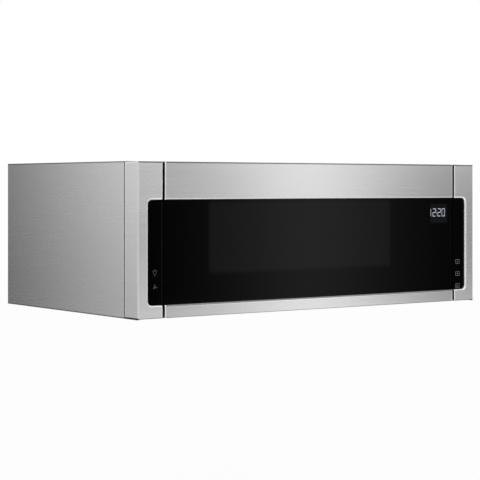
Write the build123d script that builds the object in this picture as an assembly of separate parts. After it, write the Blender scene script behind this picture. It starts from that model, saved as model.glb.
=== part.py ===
from build123d import *
from math import cos, pi, sin
import os

# Low profile microwave and hood. Millimetres, X to the right seen from the front, Y to the back, Z up.
# The origin is at the middle of the underside.
os.makedirs("parts", exist_ok=True)

# Case
case_width = 760.0
case_depth = 450.0
case_height = 260.0
case_sheet = 1.0
flange = 12.0
face_sheet = 1.2
wall_recess = 8.0
wall_plate_sheet = 1.5

# Front: door between two fixed end caps
door_depth = 38.0
door_rear_gap = 1.2
cap_width = 49.4
door_side_gap = 4.0
front_edge_gap = 1.0
seam_gap = 1.5
trim_sheet = 1.0
corner_round = 1.8
lip_width = 4.0
lip_round = 3.2
trim_top_return = 34.0
clip_width = 20.0
clip_height = 5.0
clip_count = 5

# Black glass band across door and caps
band_bottom = 22.7
upper_strip_height = 63.0
band_end_margin = 21.2
band_corner = 7.5
glass_thickness = 4.0
glass_side_clearance = 0.3

# Oven cavity
left_channel = 82.0      # outer side face to the cavity
component_bay = 148.0    # cavity to the outer side face
rear_zone = 87.6         # back of the liner to the back panel
under_space = 46.0       # underside to the cavity floor
head_space = 36.0        # cavity to the top of the case
cavity_corner = 4.0
liner_sheet = 1.0

# Door inside
frame_wall = 3.0
frame_skin = 2.0
frame_end_gap = 12.0
choke_overlap = 20.0
choke_sheet = 1.0
choke_depth = 20.0
choke_channel = 18.0
cover_thickness = 2.0
touch_board_gap = 2.0
touch_board_height = 84.0
inner_glass_thickness = 1.4
inner_glass_clearance = 0.5
window_left_margin = 63.6
window_right_margin = 63.1
window_bottom_margin = 27.0
window_top_margin = 37.0
window_margin = 8.0
display_side_margin = 7.6
display_top_margin = 8.7
display_width = 55.0
display_height = 47.0
display_thickness = 10.0

# Hinge
hinge_inset = 12.0
hinge_setback = 8.0
hinge_pin_radius = 2.5
hinge_pin_head = 4.0
hinge_pin_head_height = 2.5
hinge_pin_engagement = 15.0
running_clearance = 0.05
hinge_arm_thickness = 3.0
hinge_arm_gap = 2.5
hinge_arm_radius = 4.5
hinge_foot_offset = 22.0
hinge_foot_width = 16.0
hinge_foot_height = 18.0
hinge_foot_thickness = 2.0
hinge_boss_radius = 6.5

# Latch and release
latch_offset = 10.0
latch_bar = 8.0
latch_bar_setback = 20.0
latch_bar_depth = 10.0
latch_bar_end = 38.0
hook_end = 18.0
hook_thickness = 6.0
hook_reach = 25.0
hook_tooth = 4.0
hook_tooth_length = 8.0
hook_drop = 4.0
free_gap = 0.3
slot_side_clearance = 3.5
catch_length = 10.0
catch_height = 6.0
latch_board_wall = 3.0
latch_board_depth = 32.0
switch_pitch = 11.0
switch_size = (9.0, 14.0, 18.0)
button_radius = 1.8
button_travel = 1.5
guide_width = 3.0
guide_clearance = 0.5
spring_radius = 3.2
spring_wire = 0.8
spring_length = 18.0
spring_turns = 7
rod_offset = 40.0
rod_radius = 5.0
rod_length = 36.0
rod_travel = 12.0
cam_radius = 9.0
cam_rest_gap = 1.1
cam_thickness = 6.0
cam_shaft_radius = 3.0
cam_steps = 12
release_motor_radius = 22.0
release_motor_length = 16.0
release_bracket_sheet = 2.0
release_guide_size = 18.0
release_guide_length = 12.0

# Turntable
coupler_hole_radius = 6.0
coupler_shaft_radius = 4.0
coupler_shaft_depth = 8.0
coupler_reach = 16.0
coupler_arm_width = 6.0
coupler_lift = 2.0
coupler_height = 9.0
turntable_motor_radius = 25.0
turntable_motor_height = 19.0
turntable_ear_reach = 32.5
turntable_ear_width = 12.5
roller_radius = 8.0
roller_width = 10.0
roller_inset = 33.0
roller_count = 3
ring_width = 6.0
ring_height = 6.0
ring_gap = 2.0
axle_radius = 2.0
tray_wall_gap = 11.0
tray_thickness = 4.0
tray_rim = 9.0
tray_lug_width = 6.0
tray_lug_length = 8.0
tray_lug_height = 8.0

# Microwave supply
waveguide_depth = 34.0
waveguide_sheet = 1.0
bay_front_space = 94.6   # face plate to the first heavy parts of the bay
waveguide_length = 146.0
waveguide_height = 66.0
waveguide_top_gap = 16.0
port_length = 38.0
port_height = 48.0
port_inset = 8.0
port_cover_margin = 8.0
port_cover_thickness = 0.6
antenna_radius = 9.0
antenna_length = 20.0
antenna_clearance = 1.0
magnetron_length = 80.0
magnetron_width = 44.0
magnetron_height = 90.0
anode_radius = 18.0
filter_box_depth = 22.0
filter_box_inset = 16.0
fin_count = 6
fin_sheet = 1.0
transformer_width = 58.0
transformer_height = 74.0
transformer_inset = 26.0
capacitor_gap = 22.0
capacitor_rear_space = 40.0
capacitor_length = 82.0
capacitor_width = 50.0
capacitor_height = 34.0
terminal_height = 9.0
board_thickness = 1.6
board_front_gap = 8.6
board_length = 76.0
board_end_gap = 40.0
board_standoff = 6.0
relay_size = 15.2
relay_height = 12.2
relay_pitch = 22.8
relay_count = 3

# Cooling fan
baffle_setback = 15.4
baffle_sheet = 1.5
baffle_top_gap = 5.0
cooling_fan_drop = 82.0
cooling_fan_radius = 46.0
cooling_fan_depth = 14.0
fan_tip_clearance = 4.0
cooling_blade_count = 5
fan_hub_radius = 13.0
fan_shaft_radius = 3.0
fan_motor_radius = 24.0
fan_motor_length = 28.0
fan_post_radius = 3.0
fan_post_offset = 38.0
fan_post_length = 20.0

# Hood blower and exhaust
duct_inside_width = 254.0
duct_inside_depth = 82.55
duct_sheet = 1.0
duct_height = 84.0
blower_drop = 76.0
wheel_radius = 34.0
wheel_width = 78.0
wheel_blade_depth = 7.0
wheel_blade_count = 24
wheel_plate = 1.5
wheel_hub_radius = 8.8
blade_sheet = 1.0
blower_inlet_radius = 26.0
blower_motor_radius = 30.0
blower_motor_width = 66.0
blower_shaft_radius = 4.0
wheel_end_gap = 6.0
damper_lift = 5.0
damper_hinge_inset = 4.5
damper_thickness = 1.0
damper_tube_radius = 3.0
damper_pin_radius = 2.0
damper_side_gap = 1.5

# Grease filters, charcoal filter and grille
filter_width = 200.0
filter_length = 130.0
filter_height = 8.0
filter_rim = 6.0
filter_mesh = 1.5
filter_side_margin = 25.0
filter_front_space = 84.6
filter_clearance = 0.5
floor_clearance = 0.5
charcoal_side_margin = 115.0
charcoal_length = 46.0
charcoal_height = 12.0
grille_length = 52.0
grille_thickness = 4.0
grille_slot = 5.0
grille_rib = 5.0
grille_columns = 11
grille_rows = 4
grille_pitch = 10.0
bay_slot_length = 56.0

# Lamps
lamp_side_margin = 158.0
lamp_front_space = 15.6
lens_width = 64.0
lens_length = 38.0
lens_thickness = 3.0
lamp_height = 14.0
cavity_lamp_setback = 224.6
cavity_lamp_height = 49.0
cavity_lamp_radius = 9.0
cavity_lamp_length = 30.0
lamp_socket_size = 26.0
perforation_radius = 1.6
perforation_pitch = 6.0
perforation_rows = 4

# Fixings
wall_bolt_spacing_x = 406.4
wall_bolt_spacing_z = 140.0
wall_bolt_radius = 4.0
wall_plate_margin = 14.0
cabinet_bolt_spacing = 360.0
cabinet_bolt_front = 165.0
cabinet_bolt_radius = 2.6
cabinet_nut_radius = 7.0
cabinet_nut_height = 6.0
cord_hole_radius = 13.0
cord_hole_side = 80.0
bushing_flange_radius = 18.0
bushing_wall = 3.0
bushing_height = 14.0
bushing_flange_height = 2.0
screw_head_radius = 4.0
screw_head_height = 2.2
screw_inset = 6.0

# Edges and planes that the pieces share
left, right = -case_width / 2, case_width / 2
front, back = -case_depth / 2, case_depth / 2
cap_top = case_height - front_edge_gap
door_left, door_right = left + cap_width + door_side_gap, right - cap_width - door_side_gap
door_rear = front + door_depth
face_front = door_rear + door_rear_gap
face_back = face_front + face_sheet
cap_rear = face_back - seam_gap
inner_left, inner_right = left + case_sheet, right - case_sheet
panel_y = back - wall_recess - case_sheet
glass_front = front + lip_width
glass_rear = glass_front + glass_thickness
band_top = cap_top - upper_strip_height
glass_bottom, glass_top = band_bottom - lip_width, band_top + lip_width
cavity_left, cavity_right = left + left_channel, right - component_bay
cavity_floor, cavity_top = under_space, case_height - head_space
cavity_back = panel_y - rear_zone - liner_sheet
cavity_centre_x = (cavity_left + cavity_right) / 2
cavity_centre_y = (face_back + cavity_back) / 2
liner_right = cavity_right + liner_sheet
liner_bottom, liner_top = cavity_floor - liner_sheet, cavity_top + liner_sheet
rear_y = panel_y - rear_zone / 2
duct_bottom = case_height - duct_height
blower_z = duct_bottom - blower_drop
tray_radius = (cavity_back - face_back) / 2 - tray_wall_gap
roller_path_radius = tray_radius - roller_inset
hinge_x, hinge_y = door_left + hinge_inset, front + hinge_setback
frame_bottom, frame_top = front_edge_gap + frame_end_gap, cap_top - frame_end_gap
choke_left, choke_right = cavity_left - choke_overlap, cavity_right + choke_overlap
choke_bottom, choke_top = cavity_floor - choke_overlap, cavity_top + choke_overlap
cover_front = door_rear - cover_thickness
bay_centre_x = (liner_right + inner_right) / 2
bay_front = face_back + bay_front_space
window_left, window_right = cavity_left + window_left_margin, cavity_right - window_right_margin
window_bottom, window_top = cavity_floor + window_bottom_margin, cavity_top - window_top_margin
display_left = door_right - display_side_margin - display_width
display_bottom = glass_top - display_top_margin - display_height
latch_x = choke_right + latch_offset
latch_bar_bottom, latch_bar_top = choke_bottom + latch_bar_end, choke_top - latch_bar_end
hook_low = latch_bar_bottom + hook_end
hook_high = latch_bar_top - hook_end - hook_thickness
rod_x, rod_z = latch_x + rod_offset, (hook_low + hook_high) / 2
waveguide_front = bay_front
waveguide_bottom = cavity_top - waveguide_top_gap - waveguide_height
baffle_y = cavity_back - baffle_setback
capacitor_back = baffle_y - capacitor_rear_space
capacitor_front = capacitor_back - capacitor_width
transformer_back = capacitor_front - capacitor_gap
cooling_fan_z = case_height - cooling_fan_drop
lamp_y = face_back + lamp_front_space + lens_length / 2
cavity_lamp_y = face_back + cavity_lamp_setback
cavity_lamp_z = cavity_floor + cavity_lamp_height
filter_centre_y = face_back + filter_front_space + filter_length / 2


def slab(x, y, z):
    """Box between the two ends given on each axis."""
    size = [b - a for a, b in (x, y, z)]
    return Pos(*[(a + b) / 2 for a, b in (x, y, z)]) * Box(*size)


def about(centre, size):
    """The two ends of a length set about its centre."""
    return (centre - size / 2, centre + size / 2)


def upto(start, size):
    """The two ends of a length that begins at start."""
    return (start, start + size)


def rod_x_axis(radius, x, y, z):
    """Cylinder along X between the ends x, through y and z."""
    return Pos((x[0] + x[1]) / 2, y, z) * Rot(0, 90, 0) * Cylinder(radius, x[1] - x[0])


def rod_y_axis(radius, x, y, z):
    """Cylinder along Y between the ends y, through x and z."""
    return Pos(x, (y[0] + y[1]) / 2, z) * Rot(90, 0, 0) * Cylinder(radius, y[1] - y[0])


def rod_z_axis(radius, x, y, z):
    """Cylinder along Z between the ends z, through x and y."""
    return Pos(x, y, (z[0] + z[1]) / 2) * Cylinder(radius, z[1] - z[0])


def inward(side, near, far):
    """Ends on X measured inwards from the outer face on one side, -1 for left and 1 for right."""
    ends = (side * (case_width / 2 - near), side * (case_width / 2 - far))
    return (min(ends), max(ends))


def edges_at(solid, axis, place, low, high):
    """Edges in the plane at place on axis whose centres lie in the box from low to high."""
    found = solid.edges().filter_by_position(axis, place - 0.01, place + 0.01)
    inside = []
    for edge in found:
        centre = edge.center()
        point = (centre.X, centre.Y, centre.Z)
        if all(a <= p <= b for a, p, b in zip(low, point, high)):
            inside.append(edge)
    return inside


def group(solids):
    """Separate solids that share one name."""
    parts = [solid if isinstance(solid, Part) else Part(solid.wrapped) for solid in solids]
    return Compound(children=parts)


# Case shells

def side_panel(side):
    """Outer sheet of one side with its four folded flanges."""
    panel = slab(inward(side, 0, case_sheet), (face_back, back), (0, case_height))
    turned = inward(side, 0, flange)
    panel += slab(turned, upto(face_back, case_sheet), (case_sheet, case_height - grille_thickness))
    panel += slab(turned, (panel_y - case_sheet, panel_y), (case_sheet, case_height - case_sheet))
    panel += slab(turned, (face_back, panel_y), upto(case_sheet, case_sheet))
    top_front = face_front + grille_length
    panel += slab(turned, (top_front, panel_y), (case_height - 2 * case_sheet, case_height - case_sheet))
    return panel


def top_cover():
    """Top sheet with the outlet, the cord hole and two weld nuts for bolts from the cabinet above."""
    top = (case_height - case_sheet, case_height)
    cover = slab((inner_left, inner_right), (face_front + grille_length, back), top)
    cover -= slab(about(0, duct_inside_width), about(rear_y, duct_inside_depth), top)
    cover -= rod_z_axis(cord_hole_radius, right - cord_hole_side, rear_y, top)
    nut_z = top[0] - cabinet_nut_height
    nut = extrude(RegularPolygon(cabinet_nut_radius, 6), cabinet_nut_height)
    for x in (-cabinet_bolt_spacing / 2, cabinet_bolt_spacing / 2):
        cover += Pos(x, front + cabinet_bolt_front, nut_z) * nut
        cover -= rod_z_axis(cabinet_bolt_radius, x, front + cabinet_bolt_front, (nut_z, top[1]))
    return cover


def filter_centres():
    inset = filter_side_margin + filter_width / 2
    return [cavity_left + inset, cavity_right - inset]


def lamp_centres():
    inset = lamp_side_margin + lens_width / 2
    return [left + inset, right - inset]


def base_plate():
    bottom = (0, case_sheet)
    plate = slab((inner_left, inner_right), (face_back, panel_y), bottom)
    for x in filter_centres():
        width = filter_width + 2 * filter_clearance
        length = filter_length + 2 * filter_clearance
        plate -= slab(about(x, width), about(filter_centre_y, length), bottom)
    for x in lamp_centres():
        plate -= slab(about(x, lens_width), about(lamp_y, lens_length), bottom)
    for row in range(grille_rows):
        y = baffle_y - (row + 1) * grille_pitch
        plate -= slab(about(bay_centre_x, bay_slot_length), upto(y, grille_slot), bottom)
    return plate


def back_panel():
    return slab((inner_left, inner_right), upto(panel_y, case_sheet), (0, case_height - case_sheet))


def wall_mounting_plate():
    """Steel plate on the wall, with folded edges that meet the back panel."""
    x = (inner_left + wall_plate_margin, inner_right - wall_plate_margin)
    z = (wall_plate_margin, case_height - wall_plate_margin)
    fold = (panel_y + case_sheet, back)
    skin = wall_plate_sheet
    plate = slab(x, fold, z)
    plate -= slab((x[0] + skin, x[1] - skin), (fold[0], back - skin), (z[0] + skin, z[1] - skin))
    middle = (z[0] + z[1]) / 2
    for column in (-1, 1):
        for row in (-1, 1):
            place = (column * wall_bolt_spacing_x / 2, middle + row * wall_bolt_spacing_z / 2)
            plate -= rod_y_axis(wall_bolt_radius, place[0], fold, place[1])
    return plate


def front_frame():
    """Face plate that carries the door, the end caps and the front of the oven."""
    top = case_height - grille_thickness
    plate = slab((left + seam_gap, right - seam_gap), (face_front, face_back), (case_sheet, top))
    plate += slab((inner_left + flange, inner_right - flange), (face_front, face_back + flange),
                  (top - face_sheet, top))
    thickness = (face_front, face_back)
    plate -= slab((cavity_left, cavity_right), thickness, (cavity_floor, cavity_top))
    for hook_z, width in hooks():
        plate -= slab(hook_slot_x(width), thickness, hook_slot_z(hook_z))
    plate -= rod_y_axis(rod_radius + free_gap, rod_x, thickness, rod_z)
    for arm_z in hinge_arms():
        foot = hinge_foot_x()
        plate -= slab((foot[0] - hinge_arm_radius, foot[1]), thickness, upto(arm_z, hinge_arm_thickness))
    return plate


def vent_grille():
    """Slotted grille at the front of the top, over the charcoal filter."""
    z = (case_height - grille_thickness, case_height)
    grille = slab((inner_left, inner_right), upto(face_front, grille_length), z)
    pitch = (inner_right - inner_left - 2 * flange) / grille_columns
    for column in range(grille_columns):
        x = (column - (grille_columns - 1) / 2) * pitch
        for row in range(grille_rows):
            y = face_front + grille_slot + row * grille_pitch
            grille -= slab(about(x, pitch - grille_rib), upto(y, grille_slot), z)
    return grille


def charcoal_filter():
    y = upto(face_back + flange, charcoal_length)
    x = (cavity_left + charcoal_side_margin, cavity_right - charcoal_side_margin)
    return slab(x, y, upto(liner_top, charcoal_height))


def cord_bushing():
    """Strain relief sleeve in the top, with no cord in it."""
    z = (case_height - bushing_height, case_height)
    sleeve = rod_z_axis(cord_hole_radius, right - cord_hole_side, rear_y, z)
    under = (case_height - case_sheet - bushing_flange_height, case_height - case_sheet)
    sleeve += rod_z_axis(bushing_flange_radius, right - cord_hole_side, rear_y, under)
    return sleeve - rod_z_axis(cord_hole_radius - bushing_wall, right - cord_hole_side, rear_y, z)


def case_screws():
    """Screws that hold the back panel to the side panels."""
    screws = []
    rear = panel_y + case_sheet
    for side in (-1, 1):
        x = side * (case_width / 2 - screw_inset)
        for row in (1, 3, 5):
            z = row * case_height / 6
            head = rod_y_axis(screw_head_radius, x, upto(rear, screw_head_height), z)
            screws.append(head)
    return group(screws)


# End caps

def band_opening(side, reach, grow=0.0):
    """Outline of the glass opening in one cap, carried along Y through reach."""
    ends = inward(side, band_end_margin - grow, cap_width)
    x = (ends[0] - band_corner * 2, ends[1]) if side > 0 else (ends[0], ends[1] + band_corner * 2)
    z = (band_bottom - grow, band_top + grow)
    block = slab(x, reach, z)
    block = fillet(block.edges().filter_by(Axis.Y), band_corner + grow)
    return block & slab(ends, reach, z)


def end_cap(side):
    """Folded steel cap: front, outer side, top, bottom and the wall beside the door."""
    x = inward(side, 0, cap_width)
    z = (front_edge_gap, cap_top)
    sheet = trim_sheet
    body = slab(x, (front, cap_rear), z)
    upright = edges_at(body, Axis.Y, front, (x[0] - 1, front - 1, z[0]), (x[1] + 1, front + 1, z[1]))
    outer_x = side * case_width / 2
    body = fillet([e for e in upright if abs(e.center().X - outer_x) < 1], corner_round)
    inner = slab((x[0] + sheet, x[1] - sheet), (front + sheet, cap_rear), (z[0] + sheet, z[1] - sheet))
    body -= inner
    body += band_opening(side, (front, glass_front), lip_width) & slab(x, (front + sheet, glass_front), z)
    body -= band_opening(side, (front, glass_rear))
    seat = inward(side, band_end_margin - lip_width, cap_width)
    body -= slab(seat, (glass_front, cap_rear - flange), (glass_bottom, glass_top))
    rim = edges_at(body, Axis.Y, front,
                   (seat[0] - 1, front - 1, band_bottom - 1), (seat[1] + 1, front + 1, band_top + 1))
    rolled = [e for e in rim if abs(e.center().X - outer_x) < cap_width - 1]
    body = fillet(rolled, lip_round)
    door_side = side * (case_width / 2 - cap_width)
    beside = edges_at(body, Axis.Y, front,
                      (door_side - 0.1, front - 1, z[0]), (door_side + 0.1, front + 1, z[1]))
    return fillet(beside, corner_round)


def end_glass(side):
    x = inward(side, band_end_margin - lip_width, cap_width - glass_side_clearance)
    return slab(x, (glass_front, glass_rear), (glass_bottom, glass_top))


def end_frame(side):
    """Moulded frame behind one end glass, open at the back, with a seat for its touch board."""
    sheet = trim_sheet
    x = inward(side, sheet, cap_width - sheet)
    z = (front_edge_gap + sheet, cap_top - sheet)
    y = (glass_rear, face_front)
    frame = slab(x, y, z)
    skin = frame_skin
    hollow = (y[0] + board_thickness + skin, y[1])
    frame -= slab((x[0] + skin, x[1] - skin), hollow, (z[0] + skin, z[1] - skin))
    frame -= touch_board(side)
    return frame


def touch_board(side):
    x = inward(side, band_end_margin + touch_board_gap, cap_width - frame_wall)
    return slab(x, upto(glass_rear, board_thickness), upto(band_bottom + touch_board_gap, touch_board_height))


# Door

def door_trim(low, high, lip_high):
    """Folded steel strip across the door; the edge beside the glass is rolled in."""
    sheet = trim_sheet
    x = (door_left, door_right)
    strip = slab(x, (front, glass_front), (low, high))
    strip -= slab((x[0] + sheet, x[1] - sheet), (front + sheet, glass_front), (low, high))
    lip = (high - 2 * lip_width, high) if lip_high else (low, low + 2 * lip_width)
    strip += slab(x, (front, glass_front), lip)
    edge_z = high if lip_high else low
    fold = upto(low, sheet) if lip_high else (high - sheet, high)
    strip += slab(x, (front, front + trim_top_return), fold)
    rolled = edges_at(strip, Axis.Y, front, (x[0], front - 1, edge_z - 0.1), (x[1], front + 1, edge_z + 0.1))
    strip = fillet(rolled, lip_round)
    for end in x:
        low_corner = (end - 0.1, front - 1, low)
        high_corner = (end + 0.1, front + 1, high)
        strip = fillet(edges_at(strip, Axis.Y, front, low_corner, high_corner), corner_round)
    # Clips behind the lip reach to the back of the glass
    pitch = (door_right - door_left) / clip_count
    clip = (lip[0] - clip_height, lip[0]) if lip_high else (lip[1], lip[1] + clip_height)
    for index in range(clip_count):
        x_clip = about(door_left + (index + 0.5) * pitch, clip_width)
        strip += slab(x_clip, (front + sheet, glass_rear), clip)
    return strip


def door_glass():
    x = (door_left + glass_side_clearance, door_right - glass_side_clearance)
    return slab(x, (glass_front, glass_rear), (glass_bottom, glass_top))


def hinge_bosses():
    """Where the two hinge pins run in the door frame: height ends of each."""
    upper = (frame_top - hinge_pin_engagement, frame_top)
    lower = (frame_bottom, glass_bottom - free_gap)
    return lower, upper


def door_frame():
    """Moulded frame that carries the glass, the trims and the choke frame."""
    x = (door_left, door_right)
    z = (frame_bottom, frame_top)
    rear = cover_front
    frame = slab(x, (glass_rear, rear), z)
    wall = frame_wall
    frame -= slab((x[0] + wall, x[1] - wall), (glass_rear + frame_skin, rear), (z[0] + wall, z[1] - wall))
    window = slab((window_left - window_margin, window_right + window_margin),
                  (glass_rear, rear), (window_bottom - window_margin, window_top + window_margin))
    frame -= window
    frame -= display_module()
    reach = (glass_front, hinge_y + hinge_boss_radius)
    for ends in hinge_bosses():
        frame += slab((door_left + trim_sheet, hinge_x + hinge_boss_radius), reach, ends)
        frame -= rod_z_axis(hinge_pin_radius + running_clearance, hinge_x, hinge_y, ends)
    return frame


def display_module():
    z = upto(display_bottom, display_height)
    return slab(upto(display_left, display_width), upto(glass_rear, display_thickness), z)


def choke_frame():
    """Pressed steel door: window panel close to the oven and a channel all round it."""
    y = (cover_front - choke_depth, cover_front)
    sheet = choke_sheet
    x = (choke_left, choke_right)
    z = (choke_bottom, choke_top)
    panel = choke_channel
    frame = slab(x, y, z)
    frame -= slab((x[0] + panel, x[1] - panel), (y[0], y[1] - sheet), (z[0] + panel, z[1] - panel))
    channel = slab((x[0] + sheet, x[1] - sheet), (y[0] + sheet, y[1]), (z[0] + sheet, z[1] - sheet))
    inner = panel - sheet
    core = slab((x[0] + inner, x[1] - inner), y, (z[0] + inner, z[1] - inner))
    frame -= channel - core
    # Four welded lugs reach forward to the moulded frame
    low = window_bottom - window_margin
    high = window_top + window_margin
    for ends in ((low - panel, low), (high, high + panel)):
        for x_lug in (x[0], x[1] - panel):
            frame += slab(upto(x_lug, panel), (glass_rear + frame_skin, y[0]), ends)
    return frame


def door_inner_cover():
    """Moulded ring over the choke channel, with the latch slots and the guides of the latch bar."""
    y = (cover_front, door_rear)
    x = (choke_left, door_right)
    z = (choke_bottom, choke_top)
    cover = slab(x, y, z)
    cover -= slab(inner_glass_x(), y, inner_glass_z())
    bar = latch_bar_y()
    near = latch_x - latch_bar / 2 - guide_clearance
    far = latch_x + latch_bar / 2 + guide_clearance
    for z_guide in (hook_low + 4 * hook_thickness, hook_high - 4 * hook_thickness):
        reach = (bar[0], cover_front)
        cover += slab((near - guide_width, near), reach, upto(z_guide, latch_bar))
        cover += slab((far, far + guide_width), reach, upto(z_guide, latch_bar))
    spring_seat = latch_bar_top + spring_length
    cover += slab((near, far), (bar[0], cover_front), upto(spring_seat, guide_width))
    for hook_z, width in hooks():
        cover -= slab(hook_slot_x(width), y, hook_slot_z(hook_z))
    return cover


def inner_glass_x():
    return (cavity_left - inner_glass_clearance, cavity_right + inner_glass_clearance)


def inner_glass_z():
    return (cavity_floor - inner_glass_clearance, cavity_top + inner_glass_clearance)


def door_inner_glass():
    return slab(inner_glass_x(), upto(cover_front, inner_glass_thickness), inner_glass_z())


# Hinge

def hinge_arms():
    """Underside of the lower and of the upper hinge arm."""
    return (frame_bottom - hinge_arm_gap - hinge_arm_thickness, frame_top + hinge_arm_gap)


def hinge_foot_x():
    return upto(hinge_x + hinge_foot_offset - hinge_foot_width / 2, hinge_foot_width)


def hinge_bracket(arm_z, foot_down):
    """Arm that reaches forward and left to the pin, with a foot behind the face plate."""
    foot = hinge_foot_x()
    eye = Pos(hinge_x, hinge_y) * Circle(hinge_arm_radius)
    root = Pos((foot[0] + foot[1]) / 2, face_back + hinge_foot_thickness / 2)
    root *= Rectangle(foot[1] - foot[0], hinge_foot_thickness)
    outline = make_hull(eye.edges() + root.edges())
    arm = Pos(0, 0, arm_z) * extrude(outline, hinge_arm_thickness)
    reach = (arm_z + hinge_arm_thickness - hinge_foot_height, arm_z + hinge_arm_thickness)
    if not foot_down:
        reach = upto(arm_z, hinge_foot_height)
    arm += slab(foot, upto(face_back, hinge_foot_thickness), reach)
    whole = (arm_z - 1, arm_z + hinge_arm_thickness + 1)
    return arm - rod_z_axis(hinge_pin_radius + running_clearance, hinge_x, hinge_y, whole)


def hinge_pins():
    """Headed pins through the hinge arms into the door frame."""
    lower_arm, upper_arm = hinge_arms()
    lower, upper = hinge_bosses()
    shank_low = (lower_arm - hinge_pin_head_height, lower[1])
    shank_high = (upper[0], upper_arm + hinge_arm_thickness + hinge_pin_head_height)
    low = rod_z_axis(hinge_pin_radius, hinge_x, hinge_y, shank_low)
    low += rod_z_axis(hinge_pin_head, hinge_x, hinge_y, upto(shank_low[0], hinge_pin_head_height))
    high = rod_z_axis(hinge_pin_radius, hinge_x, hinge_y, shank_high)
    head = (shank_high[1] - hinge_pin_head_height, shank_high[1])
    high += rod_z_axis(hinge_pin_head, hinge_x, hinge_y, head)
    return group([low, high])


# Latch and door release

def hooks():
    """Height and width of each hook; the lower one is wide enough for two switches."""
    return ((hook_low, latch_bar + switch_pitch), (hook_high, latch_bar))


def hook_x(width):
    return upto(latch_x - latch_bar / 2, width)


def hook_slot_x(width):
    return (hook_x(width)[0] - free_gap, hook_x(width)[1] + slot_side_clearance)


def hook_slot_z(hook_z):
    return (hook_z - hook_tooth - hook_drop - free_gap, hook_z + hook_thickness + free_gap)


def hook_tip_y():
    return face_back + hook_reach


def latch_bar_y():
    rear = door_rear - latch_bar_setback + latch_bar_depth
    return (door_rear - latch_bar_setback, rear)


def latch_hooks():
    """Sliding bar in the door with two hooks, shown lifted clear of the catches."""
    bar = latch_bar_y()
    lever = slab(about(latch_x, latch_bar), bar, (latch_bar_bottom, latch_bar_top))
    tip = hook_tip_y()
    for hook_z, width in hooks():
        x = hook_x(width)
        lever += slab(x, (bar[1] - latch_bar / 2, tip), upto(hook_z, hook_thickness))
        lever += slab(x, (tip - hook_tooth_length, tip), (hook_z - hook_tooth, hook_z))
    return lever


def latch_spring():
    """Coil spring between the latch bar and its seat on the door cover."""
    gap = spring_wire
    height = spring_length - 2 * gap
    y = sum(latch_bar_y()) / 2
    path = Helix(pitch=height / spring_turns, height=height, radius=spring_radius)
    ring = Plane(origin=path @ 0, z_dir=path % 0) * Circle(spring_wire / 2)
    coil = sweep(ring, path=path)
    return Pos(latch_x, y, latch_bar_top + gap) * coil


def latch_board():
    """Moulded housing behind the face plate with a catch under each hook."""
    wall = latch_board_wall
    low_hook, high_hook = hooks()
    widest = hook_slot_x(low_hook[1])
    x = (widest[0] - wall, widest[1] + wall)
    z = (hook_slot_z(hook_low)[0] - wall - catch_height, hook_slot_z(hook_high)[1] + wall)
    y = upto(face_back, latch_board_depth)
    board = slab(x, y, z)
    for hook_z, width in hooks():
        board -= slab(widest, (y[0], y[1] - wall), hook_slot_z(hook_z))
        catch_top = hook_z - hook_tooth - free_gap
        catch_rear = hook_tip_y() - hook_tooth_length - 2 * free_gap
        board += slab(widest, (catch_rear - catch_length, catch_rear), (catch_top - catch_height, catch_top))
    for x_switch, z_switch in switch_places():
        bore = button_radius + running_clearance
        board -= rod_y_axis(bore, x_switch, (y[1] - wall, y[1]), z_switch)
    middle = (hook_slot_z(hook_low)[1] + wall, hook_slot_z(hook_high)[0] - wall - catch_height)
    board -= slab((x[0] + wall, x[1] - wall), (y[0] + wall, y[1]), middle)
    return board


def switch_places():
    z_low, z_high = hook_low + hook_thickness / 2, hook_high + hook_thickness / 2
    first = latch_x
    return ((first, z_low), (first + switch_pitch, z_low), (first, z_high))


def interlock_switches():
    width, length, height = switch_size
    rear = face_back + latch_board_depth
    switches = []
    for x, z in switch_places():
        body = slab(about(x, width), upto(rear, length), about(z, height))
        bore = button_radius + running_clearance
        body -= rod_y_axis(bore, x, upto(rear, button_travel * 4), z)
        switches.append(body)
    return group(switches)


def interlock_buttons():
    """Switch buttons, shown pressed in by the hooks of the closed door."""
    rear = face_back + latch_board_depth
    reach = (hook_tip_y() + free_gap, rear + button_travel * 2)
    return group([rod_y_axis(button_radius, x, reach, z) for x, z in switch_places()])


def push_rod():
    """Plunger that pushes the closed door open."""
    start = door_rear + free_gap
    return rod_y_axis(rod_radius, rod_x, upto(start, rod_length), rod_z)


def cam_centre_y():
    return door_rear + free_gap + rod_length + cam_rest_gap + cam_radius


def release_cam():
    """Snail cam whose radius grows by the rod's travel in half a turn."""
    points = []
    for step in range(cam_steps + 1):
        turn = pi * step / cam_steps
        reach = cam_radius + rod_travel * step / cam_steps
        points.append((reach * cos(turn), reach * sin(turn)))
    curve = Spline(*points)
    low = (cam_radius * cos(pi), cam_radius * sin(pi))
    back_arc = ThreePointArc(low, (0, -cam_radius), points[0])
    outline = make_face([curve, Line(points[-1], low), back_arc])
    # The sketch's X axis is turned to face the rod, and its Z axis to run along X
    plane = Plane(origin=(rod_x, cam_centre_y(), rod_z), x_dir=(0, -1, 0), z_dir=(1, 0, 0))
    cam = extrude(plane * outline, cam_thickness / 2, both=True)
    motor_start = rod_x + cam_thickness + release_bracket_sheet
    shaft = (rod_x - cam_thickness / 2, motor_start + release_motor_length / 2)
    return cam + rod_x_axis(cam_shaft_radius, shaft, cam_centre_y(), rod_z)


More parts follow.
